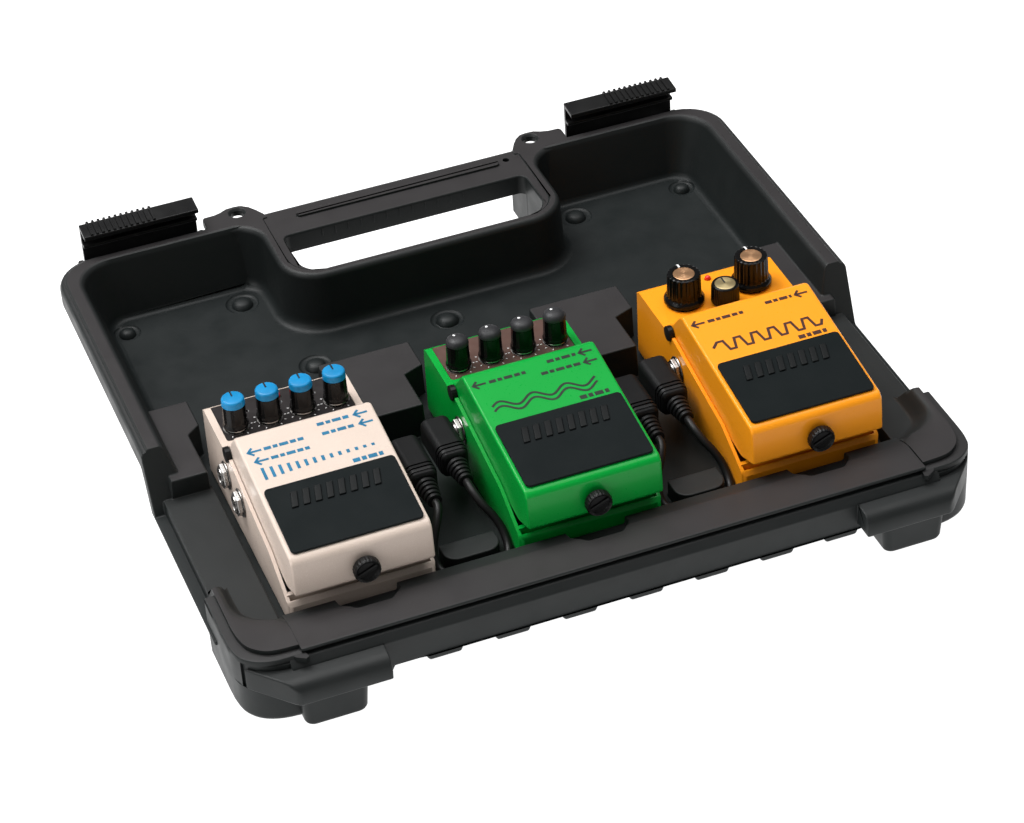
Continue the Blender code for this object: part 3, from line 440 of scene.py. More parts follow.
def softened(bm, width, segments=2, angle=28.0, chosen=None):
    """Round the edges, each by at most what its neighbours leave room for."""
    bmesh.ops.remove_doubles(bm, verts=bm.verts[:], dist=0.01)
    bmesh.ops.dissolve_limit(bm, angle_limit=math.radians(0.4), verts=bm.verts[:], edges=bm.edges[:])
    layer = bm.edges.layers.float.new("bevel_weight_edge")
    limit = math.radians(angle)
    sharp = []
    for edge in bm.edges:
        if len(edge.link_faces) != 2:
            continue
        if edge.calc_face_angle(0.0) > limit and (chosen is None or chosen(edge)):
            sharp.append(edge)
    marked = set(sharp)
    for edge in sharp:
        room = width * 3.0
        for vert in edge.verts:
            for other in vert.link_edges:
                if other is not edge:
                    part = 0.42 if other in marked else 0.8
                    room = min(room, other.calc_length() * part)
        for face in edge.link_faces:
            if len(face.verts) <= 4:
                others = [e.calc_length() for e in face.edges if e is not edge]
                room = min(room, 0.45 * max(others))
        edge[layer] = max(0.0, min(1.0, room / width))
    obj = placed("soft", mesh_from("soft", bm))
    modifier = obj.modifiers.new("round", "BEVEL")
    modifier.limit_method = "WEIGHT"
    modifier.width = width
    modifier.segments = segments
    modifier.use_clamp_overlap = False
    modifier.miter_outer = "MITER_ARC"
    out = evaluated(obj)
    bmesh.ops.remove_doubles(out, verts=out.verts[:], dist=0.002)
    return out


def piece(name, bm, mat, body, stands_for=(), smooth=True):
    """A finished mesh object on its CAD body."""
    bm.transform(TO_WORLD)
    mesh = mesh_from(name, bm)
    mesh.materials.append(mat)
    obj = placed(name, mesh)
    if smooth:
        mesh.shade_smooth()
        mesh.set_sharp_from_angle(angle=SHARP_ANGLE)
        weights = obj.modifiers.new("normals", "WEIGHTED_NORMAL")
        weights.keep_sharp = True
        weights.weight = 80
    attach(obj, body)
    if stands_for:
        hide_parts(*stands_for)
    return obj


# ======== case

RIM_TOP = 32.4
LATCH_PIN = (286.2, 20.5)


def rim_slab():
    """The case's outer slab, with a rounded step up to the rim's top."""
    profile = [(182.0, -0.5), (182.0, 28.6), (181.6, 30.0), (180.6, 30.9), (179.4, 31.1), (179.0, 31.3),
               (179.0, RIM_TOP - 0.7), (178.3, RIM_TOP)]
    levels = []
    for half, z in profile:
        inset = 182.0 - half
        levels.append((rounded((-half, half), (4.0, 281.0 - inset), 0.0, 22.0 - inset), z))
    return stacked(*levels)


def tub_body():
    foot = rounded((-165.4, 165.4), (-30.0, 268.2), 0.0, 14.0)
    head = rounded((-174.4, 174.4), (-30.2, 276.4), 0.0, 20.0)
    return stacked((foot, -3.3), (head, 21.3))


def tray():
    """The tray's inside: a fillet at the floor, sloping walls and a rounded lip."""
    levels = []
    for inset, z in ((4.2, -0.3), (2.2, 0.1), (0.9, 1.1), (0.1, 2.8), (-0.9, 6.0), (-8.1, 29.6), (-9.0, 31.4),
                     (-10.6, RIM_TOP), (-10.8, 45.0)):
        half = 162.0 - inset
        radius = max(2.0, 12.0 - inset * 0.7)
        levels.append((rounded((-half, half), (103.4, 264.8 - inset * 0.85), 0.0, radius), z))
    return stacked(*levels)


def arch_outline(half, front, wall, corner, flare):
    """The handle's well in plan: rounded in front, and flaring smoothly into the rear wall."""
    left = [(-half - flare, 275.5), (-half - flare, wall)]
    left += arc(-half - flare, wall - flare, flare, 90, -90, 8)[1:]
    left += arc(-half + corner, front + corner, corner, 180, 90, 10)
    return left + [(-x, y) for x, y in reversed(left)]


def arch():
    """The handle's well: a fillet at the tray's floor and steep walls up to the rim."""
    levels = []
    for grow, z in ((5.0, -3.1), (5.0, -0.35), (2.8, 0.2), (1.2, 1.5), (0.3, 3.6), (0.0, 6.0), (-1.0, 29.4),
                    (-1.6, 31.0), (-3.0, RIM_TOP)):
        wall = min(272.6, 265.8 + 0.22 * z) - max(0.0, grow) * 0.8 + (2.0 if z == RIM_TOP else 0.0)
        levels.append((arch_outline(77.0 + grow, 211.5 - grow, wall, 22.0 + grow, 14.0 - grow), z))
    return stacked(*levels)


def handle_steps():
    """The well, its finger slot, and the rib, hole and moulded ticks on the handle bar."""
    lowered = rounded((-70.6, 70.6), (217.6, 284.0), 16.5, 0.0, 12)
    slot = rounded((-66.0, 66.0), (218.0, 255.2), 14.0, 4.0, 10)
    wide = rounded((-66.8, 66.8), (217.2, 256.0), 14.8, 4.8, 10)
    rib = rounded((-53.8, 57.7), (268.0, 272.2), 2.0, 2.0, 6)
    ticks = [box((x - 0.35, x + 0.35), (254.9, 256.0), (25.5, 30.0)) for x in range(-45, 34, 7)]
    return [add(arch()), cut(prism(lowered, "Z", 31.5, 60.0)),
            cut(stacked((slot, -60.0), (slot, 30.6), (wide, 31.9))),
            cut(box((-65.8, 65.8), (251.2, 300.0), (-60.0, 20.4))), add(prism(rib, "Z", 30.0, 32.8)),
            cut(rod(1.7, "Z", (62.6, 272.2), 26.0, 60.0, 24)), add(merged(*ticks))]


def plateau_outlines():
    outlines = []
    for centre in GAPS.values():
        half = ((13.7, 108.2), (13.7, 134.5), (24.2, 140.0), (24.2, 160.8))
        right = [(centre + a, y) for a, y in half]
        outlines.append(right + [(centre - a, y) for a, y in reversed(half)])
    wall = ((172.2, 101.9), (153.0, 101.9), (153.0, 134.5), (146.2, 140.0), (146.2, 160.8), (172.2, 160.8))
    for side in (-1, 1):
        outlines.append(mirrored(wall, side))
    return outlines


def drafted(outline, low, high, draft):
    """A block whose walls lean inwards towards its top."""
    mid_x = sum(p[0] for p in outline) / len(outline)
    mid_y = sum(p[1] for p in outline) / len(outline)
    top = []
    for x, y in outline:
        top.append((x - math.copysign(draft, x - mid_x), y - math.copysign(draft, y - mid_y)))
    return stacked((outline, low), (top, high))


def skinned(rings):
    """A solid through rings that bend, cut into triangles so that every face is flat."""
    bm = bmesh.new()
    loft_into(bm, rings)
    bmesh.ops.triangulate(bm, faces=bm.faces[:])
    bmesh.ops.recalc_face_normals(bm, faces=bm.faces[:])
    return bm


def finer(points, steps=4):
    """More points on the smooth curve through the given ones, which it keeps."""
    spots = [Vector(p) for p in points]
    ends = [spots[0] * 2 - spots[1], *spots, spots[-1] * 2 - spots[-2]]
    out = []
    for a, b, c, d in zip(ends, ends[1:], ends[2:], ends[3:]):
        for i in range(steps):
            t = i / steps
            out.append(0.5 * (2 * b + (c - a) * t + (2 * a - 5 * b + 4 * c - d) * t * t
                              + (3 * b - a - 3 * c + d) * t ** 3))
    out.append(spots[-1])
    return [tuple(p) for p in out]


# Plan lines round the right front corner: the basin wall's foot and top, the corner's outer edge, and the
# outer and inner lines of the ledge and of the leg below it.
WALL_FOOT = ((167.4, 30.5), (167.4, 22.0), (167.0, 13.0), (165.4, 8.2), (162.4, 4.8), (158.8, 2.4),
             (155.4, 0.9), (152.1, 0.2))
WALL_HEAD = ((172.8, 21.8), (172.8, 14.0), (172.6, 5.5), (170.9, 0.2), (167.3, -4.4), (162.4, -7.8),
             (157.0, -10.0), (152.1, -13.0))
CORNER_EDGE = ((176.3, 20.6), (176.3, 12.0), (176.3, 0.0), (176.1, -12.0), (174.2, -21.5), (170.0, -27.2),
               (163.8, -30.4), (152.1, -31.2))
LEDGE_OUTER = ((180.8, 18.6), (180.8, 6.0), (180.8, -10.0), (180.3, -19.0), (178.2, -26.2), (172.4, -31.8),
               (164.4, -34.6), (150.6, -34.9))
LEDGE_INNER = ((174.4, 18.6), (174.4, 6.0), (174.2, -10.0), (173.2, -18.0), (170.4, -23.6), (166.0, -26.6),
               (160.0, -28.6), (150.6, -29.4))
LEG_OUTER = LEDGE_OUTER[:5] + ((172.8, -32.6), (164.0, -36.4), (151.0, -37.8))
LEG_INNER = ((174.6, 18.6), (174.6, 6.0), (174.4, -10.0), (173.2, -16.0), (170.4, -21.6), (166.0, -25.0),
             (160.0, -27.6), (151.0, -28.6))


def walls_between(inner, outer, levels, side):
    """A curved wall between two plan lines. levels are (height, outward growth of the outer line)."""
    inside = finer(lift(mirrored(inner, side), 0.0))
    outside = finer(lift(mirrored(outer, side), 0.0))
    rings = []
    for a, b in zip(inside, outside):
        away = (Vector(b) - Vector(a)).normalized()
        ring = [(a[0], a[1], levels[0][0])]
        for z, grow in levels:
            ring.append((b[0] + away.x * grow, b[1] + away.y * grow, z))
        ring.append((a[0], a[1], levels[-1][0]))
        rings.append(ring)
    return skinned(rings)


def between(a, b, t):
    return (a[0] + (b[0] - a[0]) * t, a[1] + (b[1] - a[1]) * t)


def basin_corner(side):
    """The raised corner inside the ledge: a sloping wall from the deck, a rounded crest and a flat top."""
    heights = (5.0, 8.0, 9.0, 13.2, 16.0, 17.0, 17.7, 18.0, 18.0, 8.0, 5.0)
    beside_bar = (5.0, 8.0, 11.6, 14.5, 15.8, 16.5, 17.5, 17.9, 17.9, 8.0, 5.0)
    rails = []
    for foot, head, edge in zip(WALL_FOOT, WALL_HEAD, CORNER_EDGE):
        base_y = 31.0 if foot is WALL_FOOT[0] else edge[1]
        levels = beside_bar if foot is WALL_FOOT[-1] else heights
        plan = [foot, foot]
        plan += [between(foot, head, t) for t in (0.28, 0.62, 0.86, 1.0)]
        plan += [between(head, edge, t) for t in (0.25, 0.6, 1.0)]
        plan += [(edge[0], base_y)] * 2
        rails.append([(x, y, z) for (x, y), z in zip(plan, levels)])
    columns = [finer(mirrored(column, side)) for column in zip(*rails)]
    return skinned([list(ring) for ring in zip(*columns)])


def corner_shells(side):
    """Closed pieces that overlap the case body at a front corner: its basin wall, ledge and leg."""
    leg_top = ((-2.0, 0.0), (15.0, 0.0), (15.55, -0.6))
    leg_foot = ((FLOOR, -2.2), (-17.8, -0.9), (-16.0, -0.2), (-1.0, 0.0))
    ledge_edge = ((12.4, -1.0), (12.9, 0.0), (15.0, 0.0), (15.6, -0.6))
    tab = ((150.6, -33.0), (157.0, -33.0), (155.0, -36.2), (151.2, -38.6), (149.6, -37.6))
    return [basin_corner(side), walls_between(LEG_INNER[:5], LEG_OUTER[:5], leg_top, side),
            walls_between(LEG_INNER, LEG_OUTER, leg_foot, side),
            walls_between(LEG_INNER, LEG_OUTER, ((-1.2, -1.3), (12.6, -1.3)), side),
            walls_between(LEDGE_INNER, LEDGE_OUTER, ledge_edge, side),
            prism(mirrored(tab, side), "Z", 12.8, 15.4)]


def corner_steps(side):
    """A front lug with its cut corner, and the front and rear feet on one side."""
    nose = [(-28.0, 10.2), (-42.6, 10.0), (-45.6, 9.4), (-47.6, 7.9), (-48.9, 5.6), (-49.5, 2.6),
            (-49.2, -1.5), (-28.0, -1.5)]
    corner = mirrored(((157.2, -60.0), (157.2, -49.7), (160.4, -47.6), (174.6, -31.6), (180.0, -24.6),
                       (180.0, -60.0)), side)
    lug = combined(prism(nose, "X", *span(side, 115.5, 177.4)), [cut(prism(corner, "Z", -10.0, 20.0))])
    front = [(rounded(span(side, 127.6 - g, 155.4 + g), (-44.6 - g * 0.6, -20.0), 3.6, 3.0, 6), z)
             for z, g in ((FLOOR, -0.8), (-18.0, 0.2), (-16.6, 0.8), (1.7, 2.2))]
    rear = [(rounded(span(side, 129.6 - g, 153.4 + g), (226.0 - g, 254.0 + g), 5.0, 5.0, 6), z)
            for z, g in ((FLOOR, 0.0), (-17.4, 1.0), (-2.1, 2.0))]
    return [add(lug), add(stacked(*front)), add(stacked(*rear))]


def front_steps():
    """The grooved strip across the front, the skirt below it and the skirt's eight teeth."""
    strip = [(-34.6, 15.7), (-34.6, 17.0), (-34.0, 17.5), (-15.5, 17.0), (-4.3, 13.2), (-4.0, 12.6),
             (-4.0, -1.2), (-32.2, -1.2), (-32.2, 15.2)]
    skirt = [(-30.0, 13.9), (-34.9, 13.9), (-37.9, 11.0), (-38.3, 9.8), (-37.6, -4.4), (-30.0, -4.4)]
    teeth = []
    for i in range(8):
        x = -127.5 + i * 32.5
        front = [(x - 2.0, -4.0), (x + 0.2, -7.8), (x + 15.2, -7.8), (x + 17.0, -4.0)]
        teeth.append(prism(front, "Y", -37.5, -31.0))
    return [add(prism(strip, "X", -152.0, 152.0)), add(prism(skirt, "X", -158.0, 158.0)), add(merged(*teeth))]


def underside_steps():
    """The hollows below the plateaus, side decks and front deck, which leave a skin all round."""
    skin = 2.6
    below_plateau = (-60.0, 18.2 - skin)
    steps = []
    for centre in GAPS.values():
        x = (centre - 13.7 + skin, centre + 13.7 - skin)
        steps.append(cut(box(x, (108.2 + skin, 160.8 - skin), below_plateau)))
    for side in (-1, 1):
        steps.append(cut(box(span(side, 153.0 + skin, 162.6), (106.9, 160.8 - skin), below_plateau)))
        steps.append(cut(box(span(side, 152.0 + skin, 170.6), (2.0, 97.0), (-60.0, 8.0 - skin))))
    steps.append(cut(box((-122.0, 122.0), (-33.5, -4.0 - skin), (-60.0, 6.4))))
    return steps


def ear_steps():
    ear = ((68.0, 274.5), (69.0, 279.4), (71.4, 284.0), (74.0, 288.0), (77.6, 291.0), (81.4, 291.5),
           (85.6, 291.2), (89.4, 289.2), (93.0, 288.2), (98.6, 288.0), (99.4, 286.6), (99.4, 274.5))
    knuckle = ((279.0, 24.6), (279.0, 20.6), (284.0, 15.6), (288.6, 15.6), (290.4, 18.0), (290.4, 23.0),
               (288.6, 25.4), (284.0, 25.4))
    steps = []
    for side in (-1, 1):
        hole = (side * 81.2, 285.0)
        dish = ((0.0, 31.0), (3.4, 31.0), (5.0, 32.9), (0.0, 32.9))
        steps += [add(prism(mirrored(ear, side), "Z", 28.2, RIM_TOP)),
                  cut(rod(3.4, "Z", hole, 0.0, 60.0, 32)), cut(turned(dish, "Z", hole, 32))]
        for inner in (102.5 - 3.3, 162.8 + 0.3):
            steps.append(add(prism(knuckle, "X", *span(side, inner, inner + 3.0))))
        steps.append(cut(rod(2.0, "X", LATCH_PIN, *span(side, 94.5, 170.8), 20)))
    return steps


DIMPLES = ((-153.3, 252.0), (153.3, 252.0), (-92.2, 251.6), (92.2, 251.6), (-1.3, 193.5), (-74.4, 185.1))


def off_the_dimples(edge):
    middle = (edge.verts[0].co + edge.verts[1].co) / 2.0
    if middle.z < -2.0 or middle.z > 2.2:
        return True
    return all(math.hypot(middle.x - x, middle.y - y) > 10.0 for x, y in DIMPLES)


def dimples():
    """Round dishes with a low dome, where the moulding's floor takes a screw or a rubber foot."""
    dome = ((0.0, -2.0), (5.6, -2.0), (5.4, -0.8), (4.6, 0.7), (3.1, 1.5), (1.5, 1.8), (0.0, 1.9))
    steps = []
    for x, y in DIMPLES:
        radius = 7.0 if abs(x) > 150 else 8.8
        dish = ((0.0, -1.4), (radius - 2.0, -1.4), (radius - 0.6, -1.0), (radius, -0.2), (radius, 0.6),
                (0.0, 0.6))
        steps.append(cut(turned(dish, "Z", (x, y), 32)))
        steps.append(add(turned([(r * radius / 8.8, z) for r, z in dome], "Z", (x, y), 32)))
    return steps


def build_case():
    """The whole moulding: slab and tub, front, tray, handle, plateaus, hollows, ears, notches and corners."""
    below = ((106.6, -60.0), (106.6, -0.5), (115.8, 20.0), (320.0, 20.0), (320.0, -60.0))
    wedge = ((-120.0, 1.5), (100.34, 1.5), (137.6, 92.4), (-120.0, 92.4))
    deck = box((-176.5, 176.5), (-20.0, 106.5), (0.2, 8.0))
    steps = [cut(prism(below, "X", -200.0, 200.0)), add(tub_body()), cut(prism(wedge, "X", -200.0, 200.0)),
             add(deck)]
    steps += front_steps() + corner_steps(-1) + corner_steps(1)
    steps += [cut(tray()), cut(box((-152.0, 152.0), (-4.0, 120.0), (-0.3, 60.0)))]
    steps += handle_steps()
    steps += [add(drafted(outline, -1.1, 18.2, 0.6)) for outline in plateau_outlines()]
    for x, y in (((-70.0, -42.5), (5.0, 18.0)), ((44.0, 69.3), (3.0, 17.6))):
        steps.append(add(prism(rounded(x, y, 7.0, 0.0, 6), "Z", -1.3, 8.0)))
    steps += underside_steps() + ear_steps()
    for x in PEDAL_X.values():
        notch = ((x - 14.6, 0.0), (x - 14.6, -9.6), (x - 12.8, -12.6), (x - 8.4, -17.4), (x + 8.4, -17.4),
                 (x + 12.8, -12.6), (x + 14.6, -9.6), (x + 14.6, 0.0))
        steps.append(cut(prism(notch, "Z", 9.4, 60.0)))
    shell = softened(combined(rim_slab(), steps + dimples()), 0.9, 2, chosen=off_the_dimples)
    shell = merged(shell, *corner_shells(-1), *corner_shells(1))
    piece("case_shell", shell, CASE, "case", ["case_base"])


def build_latch(side, word):
    """A draw latch: a pivot rod, a plate with its hooks, and twelve grip ribs along the plate's top."""
    section = [(287.0, 20.5), (289.4, 20.5), (289.4, 45.9), (278.2, 44.8), (278.2, 42.5), (287.0, 43.5),
               (287.0, 36.4), (283.6, 36.4), (283.6, 34.6), (287.0, 34.6)]
    x = span(side, 102.5, 162.8)
    steps = [add(rod(2.9, "X", LATCH_PIN, x[0] + 0.1, x[1] - 0.1)),
             add(rod(1.6, "X", LATCH_PIN, x[0] - 3.3, x[1] + 3.3))]
    bar = softened(combined(prism(section, "X", *x), steps), 0.45, 2)
    ribs = []
    for i in range(12):
        middle = side * (125.6 + i * 2.98)
        outline = [(middle + a, z) for a, z in ((-0.85, 0.0), (-0.55, 1.15), (0.55, 1.15), (0.85, 0.0))]
        ribs.append(prism(outline, "Y", 278.5, 289.4))
    rib_set = merged(*ribs)
    for vert in rib_set.verts:
        vert.co.z += 44.6 + (vert.co.y - 278.2) * 0.098
    body = f"latch_{word}"
    piece(f"{body}_bar", bar, LATCH, body, [body])
    piece(f"{body}_ribs", rib_set, LATCH, body, smooth=False)


# ======== pedals

HINGE = (85.5, 38.5)
HOUSING = [(0.3, 2.0), (0.0, 12.0), (1.5, 14.0), (24.6, 26.0), (60.0, 33.4), (82.0, 38.3), (122.0, 38.9),
           (126.0, 36.5), (126.3, 3.5), (125.0, 2.0)]
TREADLE = [(-7.6, 23.7), (-6.2, 41.2), (-4.2, 43.3), (74.0, 54.9), (76.5, 53.5), (84.5, 44.5), (89.2, 41.6),
           (90.4, 38.0), (89.6, 34.9), (84.0, 34.0), (24.0, 21.5), (6.0, 19.0)]
CAVITY = [(-5.4, 10.0), (-4.1, 40.3), (-3.4, 40.9), (73.2, 52.2), (80.4, 44.0), (80.4, 10.0)]
JACKS = {"white": ((-1, 89.4, "left_rear"), (-1, 67.0, "left_front"), (1, 89.4, "right_rear"),
                   (1, 67.0, "right_front")),
         "green": ((-1, 75.0, "left"), (1, 89.0, "right_rear"), (1, 67.0, "right_front")),
         "orange": ((-1, 75.0, "left"), (1, 75.0, "right"))}
SMALL_KNOBS = [(-24.75, 103.7, "far_left"), (-8.25, 103.7, "left"), (8.25, 103.7, "right"),
               (24.75, 103.7, "far_right")]
KNOBS = {"white": SMALL_KNOBS, "green": SMALL_KNOBS,
         "orange": [(-17.8, 106.3, "left"), (0.0, 97.4, "middle"), (17.8, 106.3, "right")]}
LED = (0.0, 118.5)
JACK_Z = 23.7
SCREW_Z = 30.8
SLOPE = math.atan2(54.9 - 43.3, 74.0 + 4.2)


def on_treadle(x, up_slope, above):
    """A point over the treadle's top: along its slope from its front edge, above its surface."""
    y = -4.2 + up_slope * math.cos(SLOPE) - above * math.sin(SLOPE)
    z = 43.3 + up_slope * math.sin(SLOPE) + above * math.cos(SLOPE)
    return (x, y, z)


def placed_on_treadle(bm, px):
    """Take a shape drawn flat (x across, y along the slope, z above it) onto a treadle."""
    for vert in bm.verts:
        vert.co = on_treadle(px + vert.co.x, vert.co.y, vert.co.z)
    return bm


def outward(px, side, near, far):
    """Two distances from a pedal's middle towards one side, as x values in rising order."""
    return sorted((px + side * near, px + side * far))


def deck_holes(name, px):
    holes = [cut(rod(3.0, "Z", (px + x, y), 31.0, 60.0, 20)) for x, y, _ in KNOBS[name]]
    return holes + [cut(rod(1.8, "Z", (px + LED[0], LED[1]), 31.0, 60.0, 16))]


def upright_end(edge):
    """Whether an edge is one of the housing's steep outer corners."""
    a, b = (vert.co for vert in edge.verts)
    return abs(a.z - b.z) > 3 and abs(a.y - b.y) < 3


def build_housing(name, px):
    body = softened(prism(HOUSING, "X", px - 35.2, px + 35.2), 2.6, 5, 60.0, upright_end)
    inner = (px - 33.5, px + 33.5)
    steps = [cut(box(inner, (2.0, 91.4), (-60.0, 120.0))), cut(box(inner, (93.4, 124.3), (-60.0, 34.7))),
             cut(box((px - 33.3, px + 33.3), (80.0, 100.0), (-60.0, 17.8)))]
    for side in (-1, 1):
        steps.append(cut(box(outward(px, side, 21.7, 33.4), (80.1, 100.1), (0.0, 30.0))))
    shelf = [(40.0, 3.0), (42.0, 3.0), (42.0, 18.0), (92.4, 18.0), (92.4, 20.0), (40.0, 20.0)]
    steps += [add(prism(shelf, "X", px - 21.0, px + 21.0)),
              cut(box((px - 5.0, px + 5.0), (65.0, 75.0), (15.0, 23.0))),
              add(box((px - 34.1, px + 34.1), (4.2, 6.5), (3.5, 16.0))),
              add(box((px - 7.0, px + 7.0), (4.0, 8.0), (3.7, 34.0))),
              cut(box((px - 2.9, px + 2.9), (2.0, 10.0), (25.0, 60.0)))]
    for side, y, _ in JACKS[name]:
        steps.append(cut(rod(4.9, "X", (y, JACK_Z), *outward(px, side, 29.5, 39.2), 28)))
    steps.append(cut(rod(4.1, "X", HINGE, px - 39.2, px + 39.2, 28)))
    if name in PANELS:
        recess = rounded((px - 31.8, px + 31.8), (94.7, 123.3), 1.5, 1.5, 4)
        steps.append(cut(prism(recess, "Z", 37.2, 60.0)))
    shell = softened(combined(body, steps + deck_holes(name, px)), 0.5, 2)
    piece(f"{name}_housing_shell", shell, PAINTS[name], "case", [f"{name}_housing"])


def build_treadle(name, px):
    body = f"{name}_treadle"
    shape = softened(prism(TREADLE, "X", px - 33.2, px + 33.2), 1.5, 4, 20.0)
    steps = [cut(prism(CAVITY, "X", px - 31.2, px + 31.2)),
             cut(rod(2.15, "X", HINGE, px - 60.0, px + 60.0, 20)),
             cut(rod(2.7, "Y", (px, SCREW_Z), -14.0, 0.0, 20))]
    piece(f"{name}_treadle_shell", combined(shape, steps), PAINTS[name], body, [f"{name}_treadle"])

    outline = rounded((-31.2, 31.2), (1.75, 42.75), 2.2, 2.2, 6)
    slab = softened(prism(outline, "Z", 0.3, 1.5), 0.45, 2)
    piece(f"{name}_pad", placed_on_treadle(slab, px), RUBBER, body, [f"{name}_tread_pad"])
    bars = []
    for i in range(8):
        x = -22.6 + i * 5.6
        mark = [(x, 27.2), (x + 3.3, 27.2), (x + 5.5, 36.6), (x + 2.2, 36.6)]
        bars.append(softened(prism(mark, "Z", 1.2, 2.3), 0.4, 2))
    piece(f"{name}_pad_emboss", placed_on_treadle(merged(*bars), px), EMBOSS, body)


def stroke(points, width):
    """A flat ribbon with mitred joints along a line, as a thin raised print."""
    spots = [Vector((x, y, 0.0)) for x, y in points]
    left = []
    right = []
    for i, spot in enumerate(spots):
        before = (spot - spots[i - 1]).normalized() if i else None
        after = (spots[i + 1] - spot).normalized() if i < len(spots) - 1 else None
        run = ((before or after) + (after or before)).normalized()
        side = Vector((-run.y, run.x, 0.0)) * (width / 2 / max(0.4, run.dot(after or before)))
        left.append(spot + side)
        right.append(spot - side)
    outline = [(p.x, p.y) for p in left] + [(p.x, p.y) for p in reversed(right)]
    return prism(outline, "Z", 0.03, 0.10)


def arrow(x, y):
    """An arrow that points left, with its tip at x, y."""
    length, head, width = 6.4, 2.4, 1.15
    return [stroke([(x + 0.4, y), (x + length, y)], width),
            stroke([(x + head, y + head), (x, y), (x + head, y - head)], width)]


def label(x0, x1, y, height=1.9):
    """A row of plain bars where the real panel carries a word."""
    marks = []
    x = x0
    while x < x1 - 1.0:
        wide = min((3.4, 2.2, 4.2, 2.8)[len(marks) % 4], x1 - x)
        low, high = y - height / 2, y + height / 2
        marks.append(prism(((x, low), (x + wide, low), (x + wide, high), (x, high)), "Z", 0.03, 0.10))
        x += wide + 0.9
    return marks


def pattern(name):
    """Each pedal's own plain pattern: fading pulses, a double wave or a square-shouldered wave."""
    middle = 54.0
    marks = []
    if name == "white":
        for i in range(14):
            x = -27.0 + i * 4.0
            half = 3.9 * 0.88 ** i
            marks.append(stroke([(x, 53.4 - half), (x, 53.4 + half)], 1.5))
    elif name == "green":
        for shift in (-1.6, 1.6):
            line = [(-27.0 + i * 1.1, middle + shift + 2.3 * math.sin(i * 0.42)) for i in range(48)]
            marks.append(stroke(line, 1.2))
    else:
        line = [(-27.5, middle)]
        for i in range(6):
            x = -24.5 + i * 8.8
            line += [(x, 57.2), (x + 3.0, 57.2), (x + 4.4, 50.8), (x + 7.4, 50.8)]
        marks.append(stroke(line + [(28.5, middle)], 1.35))
    return marks


# On each treadle, across and up its slope: arrow tips, and rows of bars as (first x, last x, height).
ARROWS = {"white": ((-30.0, 68.4), (-28.6, 61.8), (23.0, 74.2), (23.6, 67.8)),
          "green": ((-30.6, 71.4), (23.6, 74.2), (23.6, 67.6)),
          "orange": ((-30.6, 71.8), (23.6, 73.6))}
LABELS = {"white": ((-22.4, -3.4, 68.4), (-21.0, -2.6, 61.8), (5.0, 21.6, 74.2), (5.4, 22.2, 67.8)),
          "green": ((-22.6, -4.4, 71.4), (7.4, 21.8, 74.2), (2.0, 21.8, 67.6)),
          "orange": ((-22.6, -4.4, 71.8), (8.0, 21.8, 73.6))}


def build_print(name, px):
    marks = []
    for tip in ARROWS[name]:
        marks += arrow(*tip)
    for row in LABELS[name]:
        marks += label(*row)
    marks += pattern(name)
    marks += label(13.0, 27.5, 46.4 if name == "orange" else 46.6, 2.4)
    shape = placed_on_treadle(merged(*marks), px)
    piece(f"{name}_print", shape, PRINTS[name], f"{name}_treadle", smooth=False)


def build_screw(name, px):
    """A fluted thumbscrew with a cross bar in its face, set a little aslant."""
    profile = ((0.0, -11.4), (4.6, -11.4), (4.9, -12.3), (5.8, -12.6), (6.3, -12.0), (6.4, -11.4),
               (6.4, -8.9), (6.0, -8.3), (2.2, -8.3), (2.2, 9.4), (1.6, 10.0), (0.0, 10.0))
    head = turned(profile, "Y", (px, SCREW_Z), 96, flutes=(24, 0.35, -12.0, -8.9))
    bridge = softened(box((px - 5.0, px + 5.0), (-12.3, -11.0), (29.8, 31.8)), 0.3, 2)
    bridge.transform(Matrix.Translation((px, 0, SCREW_Z)) @ Matrix.Rotation(math.radians(-24), 4, "Y")
                     @ Matrix.Translation((-px, 0, -SCREW_Z)))
    node = f"{name}_thumbscrew"
    piece(f"{name}_screw", merged(head, bridge), SCREW, node, [node])


def build_small_knob(name, px, x, y, word):
    """A slim fluted knob with a coloured or grey cap and its pointer."""
    centre = (px + x, y)
    body = f"{name}_knob_{word}"
    profile = ((0.0, 30.0), (2.6, 30.0), (2.6, 40.0), (5.9, 40.0), (6.2, 40.3), (6.2, 41.2), (5.9, 41.7),
               (5.75, 42.6), (5.45, 51.9), (5.0, 52.0), (0.0, 52.0))
    if name == "white":
        slot, cap_mat, mark_mat = "knob_blue_cap", BLUE_CAP, DARK_INK
        cap = ((0.0, 52.15), (5.5, 52.15), (5.6, 52.3), (5.45, 54.9), (5.1, 55.6), (4.2, 55.95), (0.0, 56.0))
        mark = box((centre[0] - 0.4, centre[0] + 0.4), (y + 0.6, y + 5.3), (55.5, 56.08))
    else:
        slot, cap_mat, mark_mat = "knob_grey_cap", GREY_CAP, WHITE_INK
        cap = ((0.0, 52.15), (5.5, 52.15), (5.6, 52.3), (5.5, 53.3), (5.0, 54.4), (4.1, 55.2), (2.6, 55.8),
               (0.0, 56.0))
        dot = ((0.0, 55.0), (0.75, 55.0), (0.65, 56.0), (0.0, 56.2))
        mark = turned(dot, "Z", (centre[0] - 0.8, y + 1.6), 16)
    piece(f"{body}_body", turned(profile, "Z", centre, 64, flutes=(16, 0.16, 42.0, 51.9)), KNOB, body, [body])
    piece(f"{body}_cap", turned(cap, "Z", centre, 48), cap_mat, body)
    piece(f"{body}_mark", mark, mark_mat, body)


